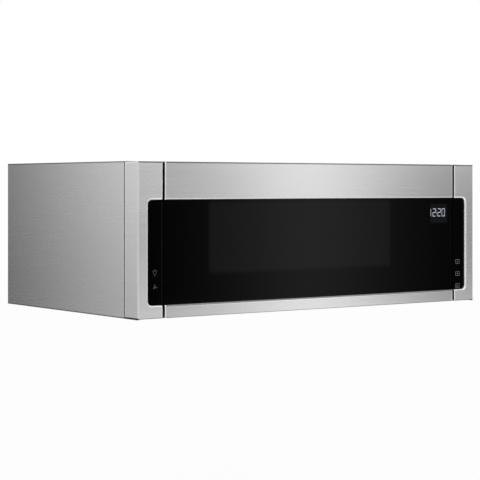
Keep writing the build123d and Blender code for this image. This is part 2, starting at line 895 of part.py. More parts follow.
def release_bracket():
    """Sheet bracket behind the face plate with the rod's guide and the motor's seat."""
    x = upto(rod_x + cam_thickness, release_bracket_sheet)
    half = release_motor_radius
    z = about(rod_z, 2 * half)
    bracket = slab(x, (face_back, cam_centre_y() + half), z)
    size = release_guide_size
    bracket += slab((rod_x - size / 2, x[1]), upto(face_back, release_guide_length), about(rod_z, size))
    bore = rod_radius + running_clearance
    bracket -= rod_y_axis(bore, rod_x, upto(face_back, release_guide_length), rod_z)
    return bracket - rod_x_axis(cam_shaft_radius + free_gap, x, cam_centre_y(), rod_z)


def release_motor():
    start = rod_x + cam_thickness + release_bracket_sheet
    y = cam_centre_y()
    motor = rod_x_axis(release_motor_radius, upto(start, release_motor_length), y, rod_z)
    bore = cam_shaft_radius + running_clearance
    return motor - rod_x_axis(bore, upto(start, release_motor_length / 2 + 1), y, rod_z)


# Oven

def cavity_liner():
    """Welded steel oven box, open at the front."""
    sheet = liner_sheet
    depth = (face_back, cavity_back + sheet)
    outer = slab((cavity_left - sheet, liner_right), depth, (liner_bottom, liner_top))
    outer = fillet(outer.edges().filter_by(Axis.Y), cavity_corner)
    inner = slab((cavity_left, cavity_right), (face_back, cavity_back), (cavity_floor, cavity_top))
    inner = fillet(inner.edges().filter_by(Axis.Y), cavity_corner - sheet)
    liner = outer - inner
    floor = (liner_bottom, cavity_floor)
    liner -= rod_z_axis(coupler_hole_radius, cavity_centre_x, cavity_centre_y, floor)
    wall = (cavity_right, liner_right)
    liner -= slab(wall, port_y(0), port_z(0))
    holes = []
    for row in range(perforation_rows):
        for column in range(perforation_rows):
            y = cavity_lamp_y + (column - (perforation_rows - 1) / 2) * perforation_pitch
            z = cavity_lamp_z + (row - (perforation_rows - 1) / 2) * perforation_pitch
            holes.append(rod_x_axis(perforation_radius, wall, y, z))
            outlet = (cavity_left - sheet, cavity_left)
            holes.append(rod_x_axis(perforation_radius, outlet, y, z))
    return liner - holes


def port_y(grow):
    end = waveguide_front + waveguide_length - port_inset
    return (end - port_length - grow, end + grow)


def port_z(grow):
    middle = waveguide_bottom + waveguide_height / 2
    return (middle - port_height / 2 - grow, middle + port_height / 2 + grow)


def waveguide():
    sheet = waveguide_sheet
    x = upto(liner_right, waveguide_depth)
    y = upto(waveguide_front, waveguide_length)
    z = upto(waveguide_bottom, waveguide_height)
    guide = slab(x, y, z)
    guide -= slab((x[0], x[1] - sheet), (y[0] + sheet, y[1] - sheet), (z[0] + sheet, z[1] - sheet))
    hole = antenna_radius + antenna_clearance
    return guide - rod_x_axis(hole, (x[1] - sheet, x[1]), magnetron_centre_y(), magnetron_centre_z())


def waveguide_cover():
    x = (cavity_right - port_cover_thickness, cavity_right)
    return slab(x, port_y(port_cover_margin), port_z(port_cover_margin))


def magnetron_centre_y():
    return bay_front + magnetron_length / 2


def magnetron_centre_z():
    return waveguide_bottom + waveguide_height / 2


def magnetron():
    """Yoke with cooling fins, the antenna into the waveguide and the filter box outside."""
    start = liner_right + waveguide_depth
    y = upto(bay_front, magnetron_length)
    z = about(magnetron_centre_z(), magnetron_height)
    middle = (magnetron_centre_y(), magnetron_centre_z())
    sheet = 2 * fin_sheet
    tube = slab(upto(start, magnetron_width), y, z)
    tube -= slab((start + sheet, start + magnetron_width - sheet), y, (z[0] + sheet, z[1] - sheet))
    tube += rod_x_axis(anode_radius, upto(start, magnetron_width), *middle)
    pitch = (magnetron_width - sheet) / (fin_count + 1)
    for index in range(fin_count):
        x = start + sheet / 2 + (index + 1) * pitch
        tube += slab(about(x, fin_sheet), y, z)
    antenna = (start - antenna_length, start)
    tube += rod_x_axis(antenna_radius, antenna, *middle)
    box = upto(start + magnetron_width, filter_box_depth)
    inset = filter_box_inset
    return tube + slab(box, (y[0] + inset, y[1] - inset), (z[0] + inset, z[1] - inset))


def cavity_lamp():
    x = upto(liner_right, lamp_socket_size / 4)
    y = about(cavity_lamp_y, lamp_socket_size)
    socket = slab(x, y, about(cavity_lamp_z, lamp_socket_size))
    socket -= rod_x_axis(cavity_lamp_radius, x, cavity_lamp_y, cavity_lamp_z)
    tail = upto(x[1], cavity_lamp_length)
    return socket + rod_x_axis(cavity_lamp_radius + 1, tail, cavity_lamp_y, cavity_lamp_z)


def high_voltage_transformer():
    """Laminated core on its foot, with the winding round the middle limb."""
    x = inward(1, transformer_inset, transformer_inset + transformer_width)
    y = (bay_front, transformer_back)
    z = upto(case_sheet, transformer_height)
    core = slab(x, y, z)
    window = (y[1] - y[0]) / 6
    middle = sum(y) / 2
    for side in (-1, 1):
        centre = middle + side * window * 1.5
        core -= slab(x, about(centre, window), about(sum(z) / 2, transformer_height / 2))
    wide = (x[0] - window / 2, x[1] + window / 2)
    winding = slab(wide, about(middle, 4 * window), about(sum(z) / 2, transformer_height / 2 - 1))
    return core + fillet(winding.edges().filter_by(Axis.Z), window / 3)


def high_voltage_capacitor():
    """Oval can lying across the bay, with two terminals."""
    y = (capacitor_front, capacitor_back)
    z = upto(case_sheet, capacitor_height)
    x = about(bay_centre_x, capacitor_length)
    can = slab(x, y, z)
    can = fillet(can.edges().filter_by(Axis.X), capacitor_height / 2 - 1)
    for offset in (-capacitor_width / 5, capacitor_width / 5):
        terminal = (x[0] - terminal_height, x[0])
        place = sum(y) / 2 + offset
        can += slab(terminal, about(place, terminal_height / 2), about(sum(z) / 2, terminal_height / 3))
    return can


def high_voltage_diode():
    top = case_sheet + capacitor_height
    y = (capacitor_front + capacitor_back) / 2
    x = about(bay_centre_x, capacitor_width / 2)
    return rod_x_axis(terminal_height / 2, x, y, top + terminal_height / 2)


def control_board():
    """Power board on standoffs from the right side panel, with relays and a small transformer."""
    face = inner_right - board_standoff
    y = upto(face_back + board_front_gap, board_length)
    z = (board_end_gap, case_height - board_end_gap)
    board = slab((face - board_thickness, face), y, z)
    inset = board_standoff
    for y_peg in (y[0] + inset, y[1] - inset):
        for z_peg in (z[0] + inset, z[1] - inset):
            board += rod_x_axis(board_standoff / 2, (face, inner_right), y_peg, z_peg)
    relay = relay_size
    front_face = face - board_thickness
    reach = (front_face - relay_height, front_face)
    for index in range(relay_count):
        z_relay = z[0] + (index + 1) * relay_pitch
        board += slab(reach, upto(y[0] + relay, relay), upto(z_relay, relay))
    coil = upto(y[0] + 2.5 * relay, relay_pitch)
    return board + slab((front_face - relay, front_face), coil, upto(z[1] - 2 * relay, relay))


# Turntable

def turntable_motor():
    z = (liner_bottom - turntable_motor_height, liner_bottom)
    motor = rod_z_axis(turntable_motor_radius, cavity_centre_x, cavity_centre_y, z)
    ear = slab(about(cavity_centre_x, 2 * turntable_ear_reach), about(cavity_centre_y, turntable_ear_width),
               (liner_bottom - liner_sheet, liner_bottom))
    bore = coupler_shaft_radius + running_clearance
    seat = (liner_bottom - coupler_shaft_depth - 1, liner_bottom)
    return motor + ear - rod_z_axis(bore, cavity_centre_x, cavity_centre_y, seat)


def turntable_coupler():
    """Three-armed drive that turns the tray."""
    x, y = cavity_centre_x, cavity_centre_y
    base = cavity_floor + coupler_lift
    shaft = (liner_bottom - coupler_shaft_depth, base + coupler_height)
    coupler = rod_z_axis(coupler_shaft_radius, x, y, shaft)
    arm = slab((0, coupler_reach), about(0, coupler_arm_width), (base, base + coupler_height))
    for index in range(roller_count):
        coupler += Pos(x, y) * Rot(0, 0, 360 / roller_count * index) * arm
    return coupler


def tray_underside():
    return cavity_floor + 2 * (roller_radius + free_gap)


def glass_tray():
    """Round glass tray with a raised rim and three lugs that sit between the coupler's arms."""
    low = tray_underside()
    thick = tray_thickness
    flat = tray_radius - tray_rim
    rim = low + tray_rim
    outline = [(0, low), (flat, low), (tray_radius, rim), (tray_radius, rim + thick),
               (tray_radius - thick, rim + thick), (flat - thick / 2, low + thick), (0, low + thick)]
    face = make_face(Plane.XZ * Polyline(*outline, close=True))
    tray = revolve(face, Axis.Z)
    start = coupler_reach - tray_lug_length
    lug = slab(upto(start, tray_lug_length), about(0, tray_lug_width), (low - tray_lug_height, low))
    for index in range(roller_count):
        tray += Rot(0, 0, 360 / roller_count * (index + 0.5)) * lug
    return Pos(cavity_centre_x, cavity_centre_y) * tray


def roller_ring():
    """Ring with one stub axle for each roller."""
    z = cavity_floor + free_gap + roller_radius
    outer = roller_path_radius - roller_width / 2 - ring_gap
    ring = Cylinder(outer, ring_height) - Cylinder(outer - ring_width, ring_height)
    tip = roller_path_radius + roller_width / 2 + ring_gap
    for index in range(roller_count):
        axle = rod_x_axis(axle_radius, (outer - ring_width / 2, tip), 0, 0)
        ring += Rot(0, 0, 360 / roller_count * index) * axle
    return Pos(cavity_centre_x, cavity_centre_y, z) * ring


def roller(index):
    z = cavity_floor + free_gap + roller_radius
    reach = about(roller_path_radius, roller_width)
    wheel = rod_x_axis(roller_radius, reach, 0, 0)
    wheel -= rod_x_axis(axle_radius + running_clearance, reach, 0, 0)
    return Pos(cavity_centre_x, cavity_centre_y, z) * Rot(0, 0, 360 / roller_count * index) * wheel


# Cooling fan

def cooling_fan_baffle():
    """Bulkhead across the component bay with the round fan opening."""
    y = upto(baffle_y, baffle_sheet)
    plate = slab((liner_right, inner_right), y, (2 * case_sheet, case_height - baffle_top_gap))
    bell = cooling_fan_radius + fan_tip_clearance
    return plate - rod_y_axis(bell, bay_centre_x, y, cooling_fan_z)


def cooling_fan_motor():
    """Motor behind the bulkhead on four posts."""
    x, z = bay_centre_x, cooling_fan_z
    near = baffle_y + baffle_sheet
    seat = near + fan_post_length
    offset = fan_post_offset
    bridge = 2 * (offset + fan_post_radius)
    motor = slab(about(x, bridge), upto(seat, 2 * baffle_sheet), about(z, bridge))
    motor += rod_y_axis(fan_motor_radius, x, upto(seat, fan_motor_length), z)
    for column in (-1, 1):
        for row in (-1, 1):
            motor += rod_y_axis(fan_post_radius, x + column * offset, (near, seat), z + row * offset)
    bore = fan_shaft_radius + running_clearance
    return motor - rod_y_axis(bore, x, upto(seat, fan_motor_length / 2), z)


def cooling_fan_blade():
    """Hub, shaft and pitched blades."""
    near = baffle_y + baffle_sheet
    depth = cooling_fan_depth
    start = near + (fan_post_length - depth) / 2
    blade_length = cooling_fan_radius - fan_hub_radius + 1
    blade = Box(blade_length, blade_sheet * 1.5, depth)
    blade = Pos(fan_hub_radius - 1 + blade_length / 2, 0, 0) * Rot(35, 0, 0) * blade
    disc = Cylinder(cooling_fan_radius, depth)
    fan = Cylinder(fan_hub_radius, depth)
    for index in range(cooling_blade_count):
        fan += (Rot(0, 0, 360 / cooling_blade_count * index) * blade) & disc
    shaft = fan_post_length / 2 + fan_motor_length / 3
    fan += Pos(0, 0, -shaft / 2) * Cylinder(fan_shaft_radius, shaft)
    return Pos(bay_centre_x, start + depth / 2, cooling_fan_z) * Rot(90, 0, 0) * fan


# Hood blower

def scroll(radius, x):
    """Round below the shaft and square above it, up to the duct."""
    block = rod_x_axis(radius, x, rear_y, blower_z)
    return block + slab(x, about(rear_y, 2 * radius), (blower_z, duct_bottom))


def blower_housing():
    """Two scrolls side by side that blow up into the exhaust duct."""
    outer = duct_inside_depth / 2 + duct_sheet
    sheet = duct_sheet
    half = duct_inside_width / 2 + sheet
    motor_half = blower_motor_width / 2
    housing = []
    for side in (-1, 1):
        ends = sorted((side * motor_half, side * half))
        chamber = scroll(outer, ends) - scroll(outer - sheet, (ends[0] + sheet, ends[1] - sheet))
        inlet = sorted((side * half, side * (half - sheet)))
        chamber -= rod_x_axis(blower_inlet_radius, inlet, rear_y, blower_z)
        near = sorted((side * motor_half, side * (motor_half + sheet)))
        chamber -= rod_x_axis(blower_shaft_radius + free_gap, near, rear_y, blower_z)
        housing.append(chamber)
    pads = slab((-half, half), (rear_y + outer - sheet, panel_y), (duct_bottom - flange, duct_bottom))
    return housing[0] + housing[1] + pads


def blower_motor():
    reach = (-blower_motor_width / 2, blower_motor_width / 2)
    motor = rod_x_axis(blower_motor_radius, reach, rear_y, blower_z)
    return motor - rod_x_axis(blower_shaft_radius + running_clearance, reach, rear_y, blower_z)


def wheel_start():
    return blower_motor_width / 2 + duct_sheet + wheel_end_gap


def blower_shaft():
    reach = wheel_start() + wheel_width / 3
    return rod_x_axis(blower_shaft_radius, (-reach, reach), rear_y, blower_z)


def blower_wheel(side):
    """Forward-curved wheel: hub plate near the motor, blades, and a ring at the inlet."""
    start = wheel_start()
    plate, depth = wheel_plate, wheel_blade_depth
    hub = rod_z_axis(wheel_hub_radius, 0, 0, (0, wheel_width / 3))
    axis = Cylinder(wheel_radius, plate) + hub
    axis -= Cylinder(blower_shaft_radius, 2 * wheel_width)
    ring = Cylinder(wheel_radius, plate) - Cylinder(wheel_radius - depth, plate)
    wheel = axis + Pos(0, 0, wheel_width - plate / 2) * ring
    middle = wheel_radius - depth / 2
    blade = Pos(middle - blade_sheet / 2, 0, wheel_width / 2) * Rot(0, 0, 25)
    blade *= Box(depth - blade_sheet, blade_sheet, wheel_width - plate)
    for index in range(wheel_blade_count):
        wheel += Rot(0, 0, 360 / wheel_blade_count * index) * blade
    return Pos(side * (start + plate / 2), rear_y, blower_z) * Rot(0, 90 * side, 0) * wheel


def blower_wheels():
    """Two wheels on one shaft."""
    return group([blower_shaft(), blower_wheel(-1), blower_wheel(1)])


def exhaust_duct():
    """Rectangular duct from the blower to the flush outlet in the top."""
    sheet = duct_sheet
    z = (duct_bottom, case_height - case_sheet)
    width, depth = duct_inside_width, duct_inside_depth
    duct = slab(about(0, width + 2 * sheet), about(rear_y, depth + 2 * sheet), z)
    duct -= slab(about(0, width), about(rear_y, depth), z)
    ends = about(0, width + 2 * sheet)
    return duct - rod_x_axis(damper_pin_radius + running_clearance, ends, damper_y(), damper_z())


def damper_y():
    return rear_y + duct_inside_depth / 2 - damper_hinge_inset


def damper_z():
    return duct_bottom + damper_lift


def damper_flap():
    """Flap that closes the duct until the air lifts it."""
    width = duct_inside_width - 2 * damper_side_gap
    reach = rear_y - duct_inside_depth / 2 + damper_side_gap
    flap = slab(about(0, width), (reach, damper_y()), about(damper_z(), damper_thickness))
    flap += rod_x_axis(damper_tube_radius, about(0, width), damper_y(), damper_z())
    pin = duct_inside_width + duct_sheet
    return flap + rod_x_axis(damper_pin_radius, about(0, pin), damper_y(), damper_z())


# Underside

def grease_filter(index):
    """Mesh panel in a folded rim."""
    x = about(filter_centres()[index], filter_width)
    y = about(filter_centre_y, filter_length)
    z = upto(floor_clearance, filter_height)
    rim = filter_rim
    panel = slab(x, y, z)
    panel -= slab((x[0] + rim, x[1] - rim), (y[0] + rim, y[1] - rim), z)
    return panel + slab((x[0] + 1, x[1] - 1), (y[0] + 1, y[1] - 1), about(sum(z) / 2, filter_mesh))


def lamp_lenses():
    z = upto(floor_clearance, lens_thickness)
    return group([slab(about(x, lens_width), about(lamp_y, lens_length), z) for x in lamp_centres()])


def cooktop_lamps():
    """Lamp housings over the lenses, each with its light board inside."""
    base = floor_clearance + lens_thickness
    lamps = []
    for x in lamp_centres():
        wide, long = about(x, lens_width), about(lamp_y, lens_length)
        lamp = slab(wide, long, upto(base, lamp_height))
        skin = frame_skin
        lamp -= slab((wide[0] + skin, wide[1] - skin), (long[0] + skin, long[1] - skin),
                     upto(base, lamp_height - skin))
        foot = (wide[0] - flange, wide[1] + flange)
        lamp += slab(foot, long, upto(case_sheet, skin)) - slab(wide, long, upto(case_sheet, skin))
        lamps.append(lamp)
    return group(lamps)


nodes = {
    "left_side_panel": side_panel(-1),
    "right_side_panel": side_panel(1),
    "top_cover": top_cover(),
    "base_plate": base_plate(),
    "back_panel": back_panel(),
    "wall_mounting_plate": wall_mounting_plate(),
    "front_frame": front_frame(),
    "vent_grille": vent_grille(),
    "charcoal_filter": charcoal_filter(),
    "cord_bushing": cord_bushing(),
    "case_screws": case_screws(),
    "left_end_cap": end_cap(-1),
    "right_end_cap": end_cap(1),
    "end_glasses": group([end_glass(-1), end_glass(1)]),
    "end_frames": group([end_frame(-1), end_frame(1)]),
    "touch_boards": group([touch_board(-1), touch_board(1)]),
    "door_trims": group([door_trim(band_top, cap_top, False), door_trim(front_edge_gap, band_bottom, True)]),
    "door_glass": door_glass(),
    "door_frame": door_frame(),
    "display_module": display_module(),
    "choke_frame": choke_frame(),
    "door_inner_cover": door_inner_cover(),
    "door_inner_glass": door_inner_glass(),
    "hinge_brackets": group([hinge_bracket(hinge_arms()[0], False), hinge_bracket(hinge_arms()[1], True)]),
    "hinge_pins": hinge_pins(),
    "latch_hooks": latch_hooks(),
    "latch_spring": latch_spring(),
    "latch_board": latch_board(),
    "interlock_switches": interlock_switches(),
    "interlock_buttons": interlock_buttons(),
    "push_rod": push_rod(),
    "release_cam": release_cam(),
    "release_motor": group([release_motor(), release_bracket()]),
    "cavity_liner": cavity_liner(),
    "waveguide": waveguide(),
    "waveguide_cover": waveguide_cover(),
    "magnetron": magnetron(),
    "cavity_lamp": cavity_lamp(),
    "high_voltage_transformer": high_voltage_transformer(),
    "high_voltage_capacitor": group([high_voltage_capacitor(), high_voltage_diode()]),
    "control_board": control_board(),
    "turntable_motor": turntable_motor(),
    "turntable_coupler": turntable_coupler(),
    "glass_tray": glass_tray(),
    "roller_ring": roller_ring(),
    "cooling_fan_baffle": cooling_fan_baffle(),
    "cooling_fan_motor": cooling_fan_motor(),
    "cooling_fan_blade": cooling_fan_blade(),
    "blower_housing": blower_housing(),
    "blower_motor": blower_motor(),
    "blower_wheels": blower_wheels(),
    "exhaust_duct": exhaust_duct(),
    "damper_flap": damper_flap(),
    "left_grease_filter": grease_filter(0),
    "right_grease_filter": grease_filter(1),
    "lamp_lenses": lamp_lenses(),
    "cooktop_lamps": cooktop_lamps(),
}
for index in range(roller_count):
    nodes[f"roller_{index + 1}"] = roller(index)

for name, solid in nodes.items():
    export_step(solid, f"parts/{name}.step")
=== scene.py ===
import math

import bmesh
import bpy
import numpy as np
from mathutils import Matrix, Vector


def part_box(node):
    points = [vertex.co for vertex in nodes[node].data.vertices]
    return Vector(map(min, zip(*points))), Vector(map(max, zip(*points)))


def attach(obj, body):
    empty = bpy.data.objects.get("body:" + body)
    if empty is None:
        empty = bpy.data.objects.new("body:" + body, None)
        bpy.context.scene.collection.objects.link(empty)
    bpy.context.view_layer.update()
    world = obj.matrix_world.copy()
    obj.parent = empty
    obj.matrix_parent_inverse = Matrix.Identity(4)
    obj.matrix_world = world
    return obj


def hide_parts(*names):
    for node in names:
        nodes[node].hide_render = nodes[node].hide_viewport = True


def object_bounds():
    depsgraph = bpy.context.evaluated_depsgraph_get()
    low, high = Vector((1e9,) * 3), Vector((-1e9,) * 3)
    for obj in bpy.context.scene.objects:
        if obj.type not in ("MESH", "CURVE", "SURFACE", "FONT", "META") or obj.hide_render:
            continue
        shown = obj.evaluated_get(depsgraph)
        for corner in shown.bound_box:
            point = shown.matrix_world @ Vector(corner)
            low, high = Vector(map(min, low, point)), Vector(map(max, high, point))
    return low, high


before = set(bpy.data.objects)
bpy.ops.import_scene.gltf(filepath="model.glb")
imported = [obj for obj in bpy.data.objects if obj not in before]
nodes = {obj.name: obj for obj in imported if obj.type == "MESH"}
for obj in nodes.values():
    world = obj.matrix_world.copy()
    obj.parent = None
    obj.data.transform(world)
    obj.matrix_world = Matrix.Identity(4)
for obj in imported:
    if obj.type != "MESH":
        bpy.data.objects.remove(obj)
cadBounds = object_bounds()
print("frame loaded:", len(nodes), "nodes")

mm = 0.001


# a shader socket that takes part in sums: every operator adds one Math node
class Wire:
    def __init__(self, tree, socket):
        self.tree = tree
        self.socket = socket

    # a Math node on two values, each of them a wire or a number
    def maths(self, operation, first, second=0.0):
        made = self.tree.nodes.new("ShaderNodeMath")
        made.operation = operation
        for socket, value in zip(made.inputs, (first, second)):
            if isinstance(value, Wire):
                self.tree.links.new(value.socket, socket)
            else:
                socket.default_value = value
        return Wire(self.tree, made.outputs[0])

    def __add__(self, other):
        return self.maths("ADD", self, other)

    def __radd__(self, other):
        return self.maths("ADD", other, self)

    def __sub__(self, other):
        return self.maths("SUBTRACT", self, other)

    def __rsub__(self, other):
        return self.maths("SUBTRACT", other, self)

    def __mul__(self, other):
        return self.maths("MULTIPLY", self, other)

    def __rmul__(self, other):
        return self.maths("MULTIPLY", other, self)

    def __truediv__(self, other):
        return self.maths("DIVIDE", self, other)

    def __rtruediv__(self, other):
        return self.maths("DIVIDE", other, self)

    def __gt__(self, other):
        return self.maths("GREATER_THAN", self, other)

    def __lt__(self, other):
        return self.maths("LESS_THAN", self, other)

    def __abs__(self):
        return self.maths("ABSOLUTE", self)

    def sine(self):
        return self.maths("SINE", self)

    def atLeast(self, low):
        return self.maths("MAXIMUM", self, low)

    def atMost(self, high):
        return self.maths("MINIMUM", self, high)


# a node tree with one way to add any node: its settings first, then the values or wires of its sockets
class Shader:
    def __init__(self, tree):
        self.tree = tree

    def node(self, kind, settings=None, inputs=None, output=0):
        made = self.tree.nodes.new(kind)
        for name, value in (settings or {}).items():
            setattr(made, name, value)
        for name, value in (inputs or {}).items():
            self.feed(made.inputs[name], value)
        return Wire(self.tree, made.outputs[output])

    # links a wire or sets a value, and a colour gets its alpha
    def feed(self, socket, value):
        if isinstance(value, Wire):
            self.tree.links.new(value.socket, socket)
        elif isinstance(value, tuple) and len(value) == 3 and socket.type == "RGBA":
            socket.default_value = (*value, 1.0)
        else:
            socket.default_value = value

    # the three numbers of a vector
    def split(self, vector):
        parts = self.node("ShaderNodeSeparateXYZ", inputs={"Vector": vector}).socket.node.outputs
        return [Wire(self.tree, output) for output in parts]


# a material with one Principled surface, whose patterns lie on object coordinates
class Finish(Shader):
    def __init__(self, name, **sockets):
        self.material = bpy.data.materials.new(name)
        self.material.use_nodes = True
        super().__init__(self.material.node_tree)
        self.surface = self.tree.nodes["Principled BSDF"]
        for socketName, value in sockets.items():
            self.set(socketName, value)

    # names a socket in camelCase: baseColor is Base Color
    def set(self, name, value):
        shortNames = {"ior": "IOR", "specular": "Specular IOR Level", "transmission": "Transmission Weight"}
        spaced = "".join(" " + letter if letter.isupper() else letter for letter in name)
        self.feed(self.surface.inputs[shortNames.get(name, spaced.title())], value)

    # object coordinates in metres, times a scale that is one number or one for each axis, and shifted
    def place(self, scale=1, shift=(0, 0, 0)):
        scales = scale if isinstance(scale, tuple) else (scale,) * 3
        coordinates = self.node("ShaderNodeTexCoord", output="Object")
        return self.node("ShaderNodeMapping", inputs={
            "Vector": coordinates, "Scale": scales, "Location": shift})

    # cloudy noise, with about as many clouds per metre as its scale
    def noise(self, scale, detail=3.0, rough=0.5, shift=(0, 0, 0)):
        return self.node("ShaderNodeTexNoise", inputs={
            "Vector": self.place(scale, shift), "Scale": 1.0, "Detail": detail, "Roughness": rough})

    # cells round scattered points, or round a square grid of points where the spread is 0
    def cells(self, scale, feature="F1", output="Distance", spread=1.0):
        return self.node("ShaderNodeTexVoronoi", {"feature": feature}, {
            "Vector": self.place(scale), "Scale": 1.0, "Randomness": spread}, output)

    # a smooth step from newLow to newHigh while the value goes from low to high
    def range(self, value, low, high, newLow=0.0, newHigh=1.0):
        return self.node("ShaderNodeMapRange", {"interpolation_type": "SMOOTHSTEP"}, {
            "Value": value, "From Min": low, "From Max": high, "To Min": newLow, "To Max": newHigh})

    # colours mixed by a factor: sockets 0, 6 and 7 are the factor and the two colours, and 2 comes out
    def mix(self, factor, first, second):
        return self.node("ShaderNodeMix", {"data_type": "RGBA"}, {0: factor, 6: first, 7: second}, 2)

    # relief from a height: its strength and depth, and the radius of the piece's edges where they are rounded
    def bump(self, height, strength, depth, rounding=0.0):
        inputs = {"Height": height, "Strength": strength, "Distance": depth}
        if rounding:
            inputs["Normal"] = self.node("ShaderNodeBevel", {"samples": 4}, {"Radius": rounding})
        self.set("normal", self.node("ShaderNodeBump", inputs=inputs))


# a colour with each channel times a share
def lifted(colour, share):
    return tuple(channel * share for channel in colour)


# finishes: the scale of a pattern is per metre, and relief is (strength, depth, rounding of the edges)

steel = {
    "tint": (0.757, 0.759, 0.761),
    "darkTint": (0.706, 0.708, 0.710),
    "roughness": 0.27,
    "along": 13.0,                # streaks along the sheet
    "across": 1300.0,             # lines across the grain
    "streak": (0.6, 0.22),        # scale of the broad streaks along and across, in shares of the grain's
    "scratch": (1.6, 0.4),
    "scratchFrom": (0.66, 0.78),  # levels of the noise where a scratch starts and is whole
    "contrast": (0.34, 0.66),     # levels of the grain that are quite dark and quite light
    "cloud": (3, 3, 9),
    "relief": (0.0065, 0.04 * mm, 1.2 * mm),
    "cornerX": 0.3765,            # from here the end cap's corner gets the painted highlight
    "outerX": 0.3788,             # beyond this its sheet has turned onto the side
}


# brushed sheet: fine grain and broad streaks as noise drawn out along x and y, minus scratches, plus cloud;
# a band (axis, low, high, tone) paints an edge one tone, a painted highlight or painted shade: x is taken
# from the middle plane to either side, and "side z" is the height on the outer sides alone; frontShare and
# sideShare lift the tint, on the end caps as painted light
def brushedSteel(name, bands, frontShare=1.0, sideShare=1.0):
    finish = Finish(name, metallic=1.0, anisotropic=0.75, anisotropicRotation=0.25)

    def lines(shares, detail, rough=0.5, shift=(0, 0, 0)):
        along, across = steel["along"] * shares[0], steel["across"] * shares[1]
        return finish.noise((along, along, across), detail, rough, shift)

    grain = lines((1, 1), 4.0, 0.6)
    streak = lines(steel["streak"], 2.0, shift=(3, 5, 7))
    scratch = finish.range(lines(steel["scratch"], 1.0, shift=(11, 2, 9)), *steel["scratchFrom"])
    cloud = finish.noise(steel["cloud"], 2.0, shift=(1, 1, 4))
    contrast = finish.range(grain * 0.5 + streak * 0.5, *steel["contrast"])
    factor = contrast * 0.4 + cloud * 0.3 - scratch * 0.5 + 0.2
    front, side = [finish.mix(factor, lifted(steel["darkTint"], share), lifted(steel["tint"], share))
                   for share in (frontShare, sideShare)]
    x, y, z = finish.split(finish.place())
    aside = abs(x)
    outer = aside > steel["outerX"]
    sheet = finish.mix(outer, front, side)
    for axis, low, high, tone in bands:
        wire = {"x": aside, "y": y, "z": z, "side z": z + (1.0 - outer)}[axis]
        sheet = finish.mix((wire > low) * (wire < high), sheet, tone)
    finish.set("baseColor", sheet)
    shine = grain * 0.022 + streak * 0.016 + cloud * 0.03     # about 0.034 on average
    finish.set("roughness", shine + (steel["roughness"] - 0.034))
    finish.bump(grain * 0.6 + streak * 0.3 - scratch * 0.4, *steel["relief"])
    return finish.material


zincCoat = {
    "tint": (0.60, 0.61, 0.62),
    "dark": (0.47, 0.48, 0.50),
    "crystals": 105,
    "cloud": 12,
    "roughness": 0.34,
    "relief": (0.12, 0.05 * mm, 0.5 * mm),
}


# zinc coated sheet: cells that each have one slightly different grey, under cloud
def galvanisedSheet(name):
    finish = Finish(name, metallic=1.0)
    crystal = finish.split(finish.cells(zincCoat["crystals"], output="Color"))[0]
    cloud = finish.noise(zincCoat["cloud"], detail=5.0)
    finish.set("baseColor", finish.mix(crystal * 0.4 + cloud * 0.6, zincCoat["dark"], zincCoat["tint"]))
    finish.set("roughness", crystal * 0.06 + cloud * 0.10 + zincCoat["roughness"])
    finish.bump(cloud * 0.5 + crystal * 0.2, *zincCoat["relief"])
    return finish.material


paint = {
    "peel": 900,
    "cloud": 9,
    "specks": 520,
    "speckSize": (0.10, 0.16),    # inner and outer edge of a speck, in cells
    "speckTint": (0.10, 0.10, 0.11),
    "specular": 0.45,
    "relief": (0.18, 0.06 * mm, 0.5 * mm),
}


# powder paint or enamel: a fine orange peel of noise, two shades mixed by cloud, and dark specks if asked for
def powderPaint(name, tint, dark, roughness=0.42, speck=0.0):
    finish = Finish(name, specular=paint["specular"])
    peel = finish.noise(paint["peel"], detail=2.0)
    cloud = finish.noise(paint["cloud"], detail=4.0)
    colour = finish.mix(cloud, dark, tint)
    if speck:
        spot = finish.range(finish.cells(paint["specks"]), *paint["speckSize"], speck, 0.0)
        colour = finish.mix(spot, colour, paint["speckTint"])
    finish.set("baseColor", colour)
    finish.set("roughness", peel * 0.10 + cloud * 0.08 + (roughness - 0.09))
    finish.bump(peel, *paint["relief"])
    return finish.material


plastic = {
    "pits": 1500,
    "cloud": 14,
    "dark": 0.82,                 # share of the tint in its darkest patches
    "specular": 0.45,
    "relief": (0.35, 0.05 * mm, 0.4 * mm),
}


# moulded plastic: fine pits as noise, with slow changes of gloss
def mouldedPlastic(name, tint, roughness=0.45):
    finish = Finish(name, specular=plastic["specular"])
    pits = finish.noise(plastic["pits"], rough=0.6)
    cloud = finish.noise(plastic["cloud"])
    finish.set("baseColor", finish.mix(cloud * 0.7 + pits * 0.3, lifted(tint, plastic["dark"]), tint))
    finish.set("roughness", pits * 0.14 + cloud * 0.08 + (roughness - 0.11))
    finish.bump(pits, *plastic["relief"])
    return finish.material


band = {
    "tint": (0.0004, 0.0004, 0.0004),
    "window": (-0.2290, 0.1655, 0.078, 0.187),    # left, right, bottom, top
    "windowSoft": 0.011,                          # width of the window's blurred edge
    "windowTint": (0.0062, 0.0062, 0.0062),
    "clock": (0.2750, 0.3130, 0.152, 0.1825),
    "clockSoft": 0.005,
    "clockTint": (0.0056, 0.0064, 0.0074),
    "holes": 560,
    "holeSize": (0.22, 0.36),                     # inner and outer edge of a hole, in cells
    "holeShare": 0.55,                            # of the window's tint that a hole keeps
    "smear": (5, 5, 7),
    "ripple": 6,
    "specular": 0.13,
    "relief": (0.02, 0.2 * mm, 0.6 * mm),
}


